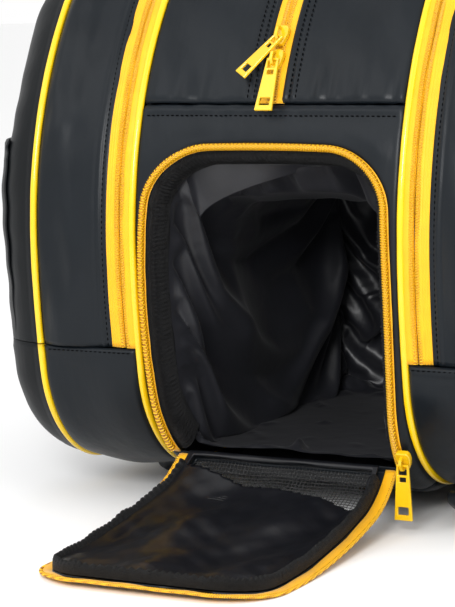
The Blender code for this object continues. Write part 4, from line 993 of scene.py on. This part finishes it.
cloth.settings.shrink_min = -LINER_FULLNESS
cloth.settings.effector_weights.gravity = 0.8
cloth.collision_settings.use_self_collision = False
cloth.collision_settings.use_collision = False
cloth.point_cache.frame_start = 1
cloth.point_cache.frame_end = LINER_FRAMES
for moment in range(1, LINER_FRAMES + 1):
    bpy.context.scene.frame_set(moment)
fallen = bpy.data.meshes.new_from_object(sack.evaluated_get(bpy.context.evaluated_depsgraph_get()))
spots = np.empty(len(fallen.vertices) * 3)
fallen.vertices.foreach_get("co", spots)
shift = spots.reshape(points.shape) - points
size = np.linalg.norm(shift, axis=-1, keepdims=True)
shift *= np.minimum(1, LINER_MOST_SHIFT / np.maximum(size, 1e-6))
spots = points + shift
inside = np.clip(np.arange(rows) / 7, 0, 1)[:, None] * fade(59 - np.arange(rows), 6)[:, None]
low_share = fade(0.062 - points[..., 2], 0.02)
crease = 1 - np.abs(ripples(spots[..., 0] * 0.8, spots[..., 1], 125, 0.075, heading=1.0, spread=1.0))
crease += 0.35 * (1 - np.abs(ripples(spots[..., 0], spots[..., 1], 126, 0.05)))
spots[..., 2] += inside * low_share * 0.018 * np.clip(crease, 0, 1.5)
wall = 1 - np.abs(ripples(run_round, spots[..., 1], 127, 0.16, heading=0.9, spread=0.6))
toward = np.stack([-points[..., 0], 0 * points[..., 0], mid_height - points[..., 2]], -1)
toward /= np.linalg.norm(toward, axis=-1, keepdims=True) + 1e-6
spots += toward * (inside * (1 - low_share) * 0.008 * np.clip(wall, 0, 1) ** 1.5)[..., None]
spots[..., 2] = np.maximum(spots[..., 2], HINGE_HEIGHT + 0.001)
sack.modifiers.clear()
sack.data.vertices.foreach_set("co", spots.reshape(-1))
sack.data.update()
bpy.context.scene.frame_set(1)
smooth = sack.modifiers.new("finer", "SUBSURF")
smooth.levels = smooth.render_levels = 1
# The liner wears the lightened satin: its colour is painted lighter to stand in for light inside the pocket.
dress(sack, lightened_lining, "bag", "black_lining", "shoe_pocket_liner")


# ---- Liner's loose corner ----
# Spare nylon at the liner's upper front left corner has slipped out from the seam: it hangs as one flat fold
# whose lower edge runs to a point near the side and curves back up to the top.
CORNER_LEFT, CORNER_TIP, CORNER_RIGHT = -0.0770, -0.0656, 0.0300
CORNER_TOP, CORNER_SIDE, CORNER_LOW, CORNER_END = 0.2350, 0.2210, 0.1965, 0.2345
CORNER_Y = FRONT + MIDDLE_Y + 0.030
CORNER_SLANT = 0.008
along = np.linspace(0, 1, 60)
tip = (CORNER_TIP - CORNER_LEFT) / (CORNER_RIGHT - CORNER_LEFT)
lower = np.where(along < tip, CORNER_SIDE + (CORNER_LOW - CORNER_SIDE) * along / tip,
                 CORNER_LOW + (CORNER_END - CORNER_LOW) * np.clip((along - tip) / (1 - tip), 0, 1) ** 0.6)
x, down = np.meshgrid(CORNER_LEFT + (CORNER_RIGHT - CORNER_LEFT) * along, np.linspace(0, 1, 24))
z = CORNER_TOP + (lower[None] - CORNER_TOP) * down
y = CORNER_Y + CORNER_SLANT * down + 0.0012 * ripples(x, z, 128, 0.05)
points, forward = np.stack([x, y, z], -1), np.array([0.0, -1.0, 0.2])
corner = thicken(grid_piece("pocket_liner_corner_cloth", points, forward), 0.0006)
dress(corner, lightened_lining, "bag", "black_lining")


# ---- Pocket flap ----
# The arch-shaped door of the shoe pocket, folded down in front of the bag: coated fabric outside, black satin
# lining inside, a raised gathered rim sewn round the lining and the other half of the yellow zip outside it.
FLAP_EDGE = 0.0086
RIM_FOOT = 0.010
VENT_HALF_WIDTH = 0.066
VENT_START = 0.004
VENT_LENGTH = 0.036


def flap_tape_depth(s, u):
    return 0.0006 + 0.0004 * ripples(u, s * 0.007, 131, 0.035) + 0.0006 * np.sin(math.pi * s)


flap_tape = arch_sheet("flap_tape_cloth", np.linspace(0.0008, POCKET_TAPE_WIDTH + 0.0012, 12), flap_tape_depth,
                       foot=HINGE_HEIGHT + 0.0012, opened=True)
dress(thicken(flap_tape, 0.0011), woven_yellow, "flap", "yellow_zip_tape", "flap_zip_tape")
arch_coil("flap_coil", 0.0014, 0.0014, 0.0013, HINGE_HEIGHT + 0.003, True, "flap")


def flap_face(name, inset, depth, material, slot, nodes, wave_seed, wave, hole, thickness, inner_side):
    """A flap layer: rows across the arch from the hinge to the crown, waved between its edges.

    Rows run at even heights, each from the arch's left side to its right. A vent window is left out.
    """
    ax, az = mouth(*arch_line(inset, HINGE_HEIGHT + 0.0015))
    middle = len(ax) // 2
    left_x, left_z = ax[:middle + 1], az[:middle + 1]
    keep = np.concatenate([[True], np.diff(left_z) > 1e-7])
    rows = np.linspace(left_z[0], left_z.max() - 0.00005, 120)
    rows = np.unique(np.concatenate([rows, left_z.max() - 0.02 * np.linspace(0.05, 1, 14) ** 2]))
    edge = np.interp(rows, left_z[keep], left_x[keep])
    right_x, right_z = ax[middle:][::-1], az[middle:][::-1]
    keep = np.concatenate([[True], np.diff(right_z) > 1e-7])
    far_edge = np.interp(rows, right_z[keep], right_x[keep])
    share = (1 - np.cos(np.linspace(0, math.pi, 96))) / 2
    x = edge[:, None] + (far_edge - edge)[:, None] * share[None]
    z = np.broadcast_to(rows[:, None], x.shape)
    from_edge = np.minimum((share * (1 - share) * 4)[None] * np.abs(edge)[:, None], 0.03 + 0 * x)
    hinge_fade = fade(z - HINGE_HEIGHT, 0.01)
    soft = fade(from_edge, 0.02) * hinge_fade * fade(rows.max() - z, 0.02)
    shift = wave * soft * ripples(x, z, wave_seed, 0.06, heading=0.6, spread=1.0)
    shift += 0.15 * wave * soft * ripples(x, z, wave_seed + 1, 0.022)
    points, out = on_front(x, z, depth + shift)
    points, out = swing(points, out)
    made = grid_piece(name, points, -out if inner_side else out)
    if hole:
        shape = bmesh.new()
        shape.from_mesh(made.data)
        low, high = HINGE_HEIGHT + VENT_START, HINGE_HEIGHT + VENT_START + VENT_LENGTH
        flat_z = z.reshape(-1)
        flat_x = x.reshape(-1)
        shape.verts.ensure_lookup_table()
        doomed = []
        for face in shape.faces:
            across = np.mean([flat_x[corner.index] for corner in face.verts])
            up = np.mean([flat_z[corner.index] for corner in face.verts])
            wedge = low + (high - low) * (0.25 + 0.75 * fade(across / VENT_HALF_WIDTH + 1, 2))
            if abs(across) < VENT_HALF_WIDTH and low < up < wedge:
                doomed.append(face)
        bmesh.ops.delete(shape, geom=doomed, context="FACES")
        shape.to_mesh(made.data)
        shape.free()
    thicken(made, thickness)
    return dress(made, material, "flap", slot, *nodes)


flap_face("flap_outer_cloth", FLAP_EDGE, 0.0003, leatherette, "black_leatherette", ("flap_panel",), 141,
          0.0008, True, 0.0024, False)
flap_satin = surface("flap_satin", (0.0050, 0.0054, 0.0075), 0.36, tone=0.15, tone_scale=30, specular=0.4,
                     rough_spread=0.05,
                     bumps=(("noise", 40, (1, 1, 1), 0.0008), ("noise", 130, (1, 1, 1), 0.0001)))
flap_face("flap_lining_cloth", FLAP_EDGE + 0.003, 0.0078, flap_satin, "black_lining", ("flap_lining",), 143,
          0.0024, True, 0.0012, True)
rim_inset = FLAP_EDGE + np.array([0.0003, 0.0002, 0.0004, 0.0012, 0.0026, 0.0040, 0.0052, 0.0056, 0.0058])
rim_depth = np.array([0.0036, 0.0060, 0.0085, 0.0105, 0.0112, 0.0104, 0.0084, 0.0060, 0.0040])
x, z, s, u = arch_band(rim_inset, GATHER_SPACING, HINGE_HEIGHT + RIM_FOOT)
gather = 0.0007 * np.cos(2 * math.pi * u / 0.0052 + 1.2 * ripples(u, s * 0.01, 151, 0.04))
gather += 0.0005 * ripples(u, s * 0.01, 152, 0.02)
points, out = on_front(x, z, rim_depth + gather * np.sin(math.pi * s))
points, out = swing(points, out)
dress(grid_piece("flap_rim_cloth", points, -out), black_binding, "flap", "black_lining", "flap_binding")


# ---- Vent mesh ----
# A strip of open black net let into the flap near its fold, knitted with square cells of about 2.6 mm.
MESH_PITCH = 0.0026
net_x = np.arange(-VENT_HALF_WIDTH, VENT_HALF_WIDTH + MESH_PITCH, MESH_PITCH)
net_z = np.arange(HINGE_HEIGHT + VENT_START, HINGE_HEIGHT + VENT_START + VENT_LENGTH + MESH_PITCH, MESH_PITCH)
x, z = np.meshgrid(net_x, net_z)
sag = 0.0008 * ripples(x, z, 161, 0.03)
points, out = on_front(x, z, 0.0030 + sag)
points, out = swing(points, out)
net = grid_piece("vent_net", points, -out)
wires = net.modifiers.new("threads", "WIREFRAME")
wires.thickness = 0.00062
wires.use_even_offset = False
wires.use_boundary = True
black_net = surface("black_mesh", (0.006, 0.006, 0.007), 0.6, tone=0.2, tone_scale=600, sheen=0.2)
dress(net, black_net, "flap", "black_mesh", "flap_vent_mesh")


# ---- Top zip ----
# The zip over the middle of the top: two ribbed yellow coils side by side between the folded edges of the top
# panels.
for name, sign in (("left", -1), ("right", 1)):
    span = even(centre_line, seam_place + SEAM_SHARE, 12 - seam_place - SEAM_SHARE, 0.004)

    def top_lift(s, u):
        return -0.0010 + 0.0004 * np.sin(math.pi * s) + 0.0002 * ripples(u, s * 0.007, 171, 0.05)

    edges = (0.0001 * sign, (ZIP_HALF_WIDTH + 0.002) * sign)
    tape = strip(f"top_tape_{name}_cloth", centre_line, edges, span, 0.0, top_lift, "bag", "yellow_zip_tape", 12)
    thicken(tape, 0.0009)
    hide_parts(f"top_zip_tape_{name}")
    coil_row(f"top_coil_{name}", centre_line, sign * COIL_OFFSET, sign, seam_place + SEAM_SHARE,
             12 - seam_place - SEAM_SHARE, -0.0006, "bag", "yellow_zip_tape")


# ---- Straps and handles ----
# Two padded carrying straps lie folded under the bag, and two rolled grab handles of webbing with a soft
# sleeve stand on the top seams. All are of the same black coated fabric.
def soft_copy(node, voxel, relax, wave, seed, material, slot, body):
    """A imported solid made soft: remeshed in small cells, relaxed, then dented in waves along its normals."""
    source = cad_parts[node]
    made = bpy.data.objects.new(f"{node}_cloth", source.data.copy())
    bpy.context.collection.objects.link(made)
    made.data.transform(source.matrix_world)
    cells = made.modifiers.new("cells", "REMESH")
    cells.mode = "VOXEL"
    cells.voxel_size = voxel
    ease = made.modifiers.new("ease", "SMOOTH")
    ease.iterations = relax
    ease.factor = 0.5
    shaped = bpy.data.meshes.new_from_object(made.evaluated_get(bpy.context.evaluated_depsgraph_get()))
    made.modifiers.clear()
    made.data = shaped
    count = len(shaped.vertices)
    spots, ways = np.empty(count * 3), np.empty(count * 3)
    shaped.vertices.foreach_get("co", spots)
    shaped.vertices.foreach_get("normal", ways)
    spots, ways = spots.reshape(-1, 3), ways.reshape(-1, 3)
    rise = wave * ripples(spots[:, 0] + spots[:, 2], spots[:, 1], seed, 0.05)
    spots = spots + ways * np.minimum(rise, 0)[:, None] * 0.9
    shaped.vertices.foreach_set("co", spots.reshape(-1))
    shaped.update()
    shaped.shade_smooth()
    return dress(made, material, body, slot, node)


for name in ("left", "right"):
    strap = soft_copy(f"{name}_carrying_strap", 0.003, 3, 0.0008, 181, leatherette, "black_leatherette", "bag")
    soft_copy(f"{name}_handle_webbing", 0.0015, 2, 0.0002, 183, black_binding, "black_leatherette",
              f"{name}_handle")
    sleeve = soft_copy(f"{name}_handle_sleeve", 0.002, 3, 0.0004, 185, leatherette, "black_leatherette",
                       f"{name}_handle")


# ---- Sliders and pull tabs ----
# Cast zinc sliders and slim die-cast pull tabs, all sprayed bright yellow.
yellow_paint = surface("yellow_paint", (0.80, 0.48, 0.003), 0.3, tone=0.03, tone_scale=150, coat=0.3,
                       bumps=(("noise", 700, (1, 1, 1), 0.00003),))
for place_name in ("top_lower", "top_upper", "pocket", "left_zip", "right_zip"):
    for part in ("slider", "pull_tab"):
        finish_node(f"{place_name}_{part}", yellow_paint)
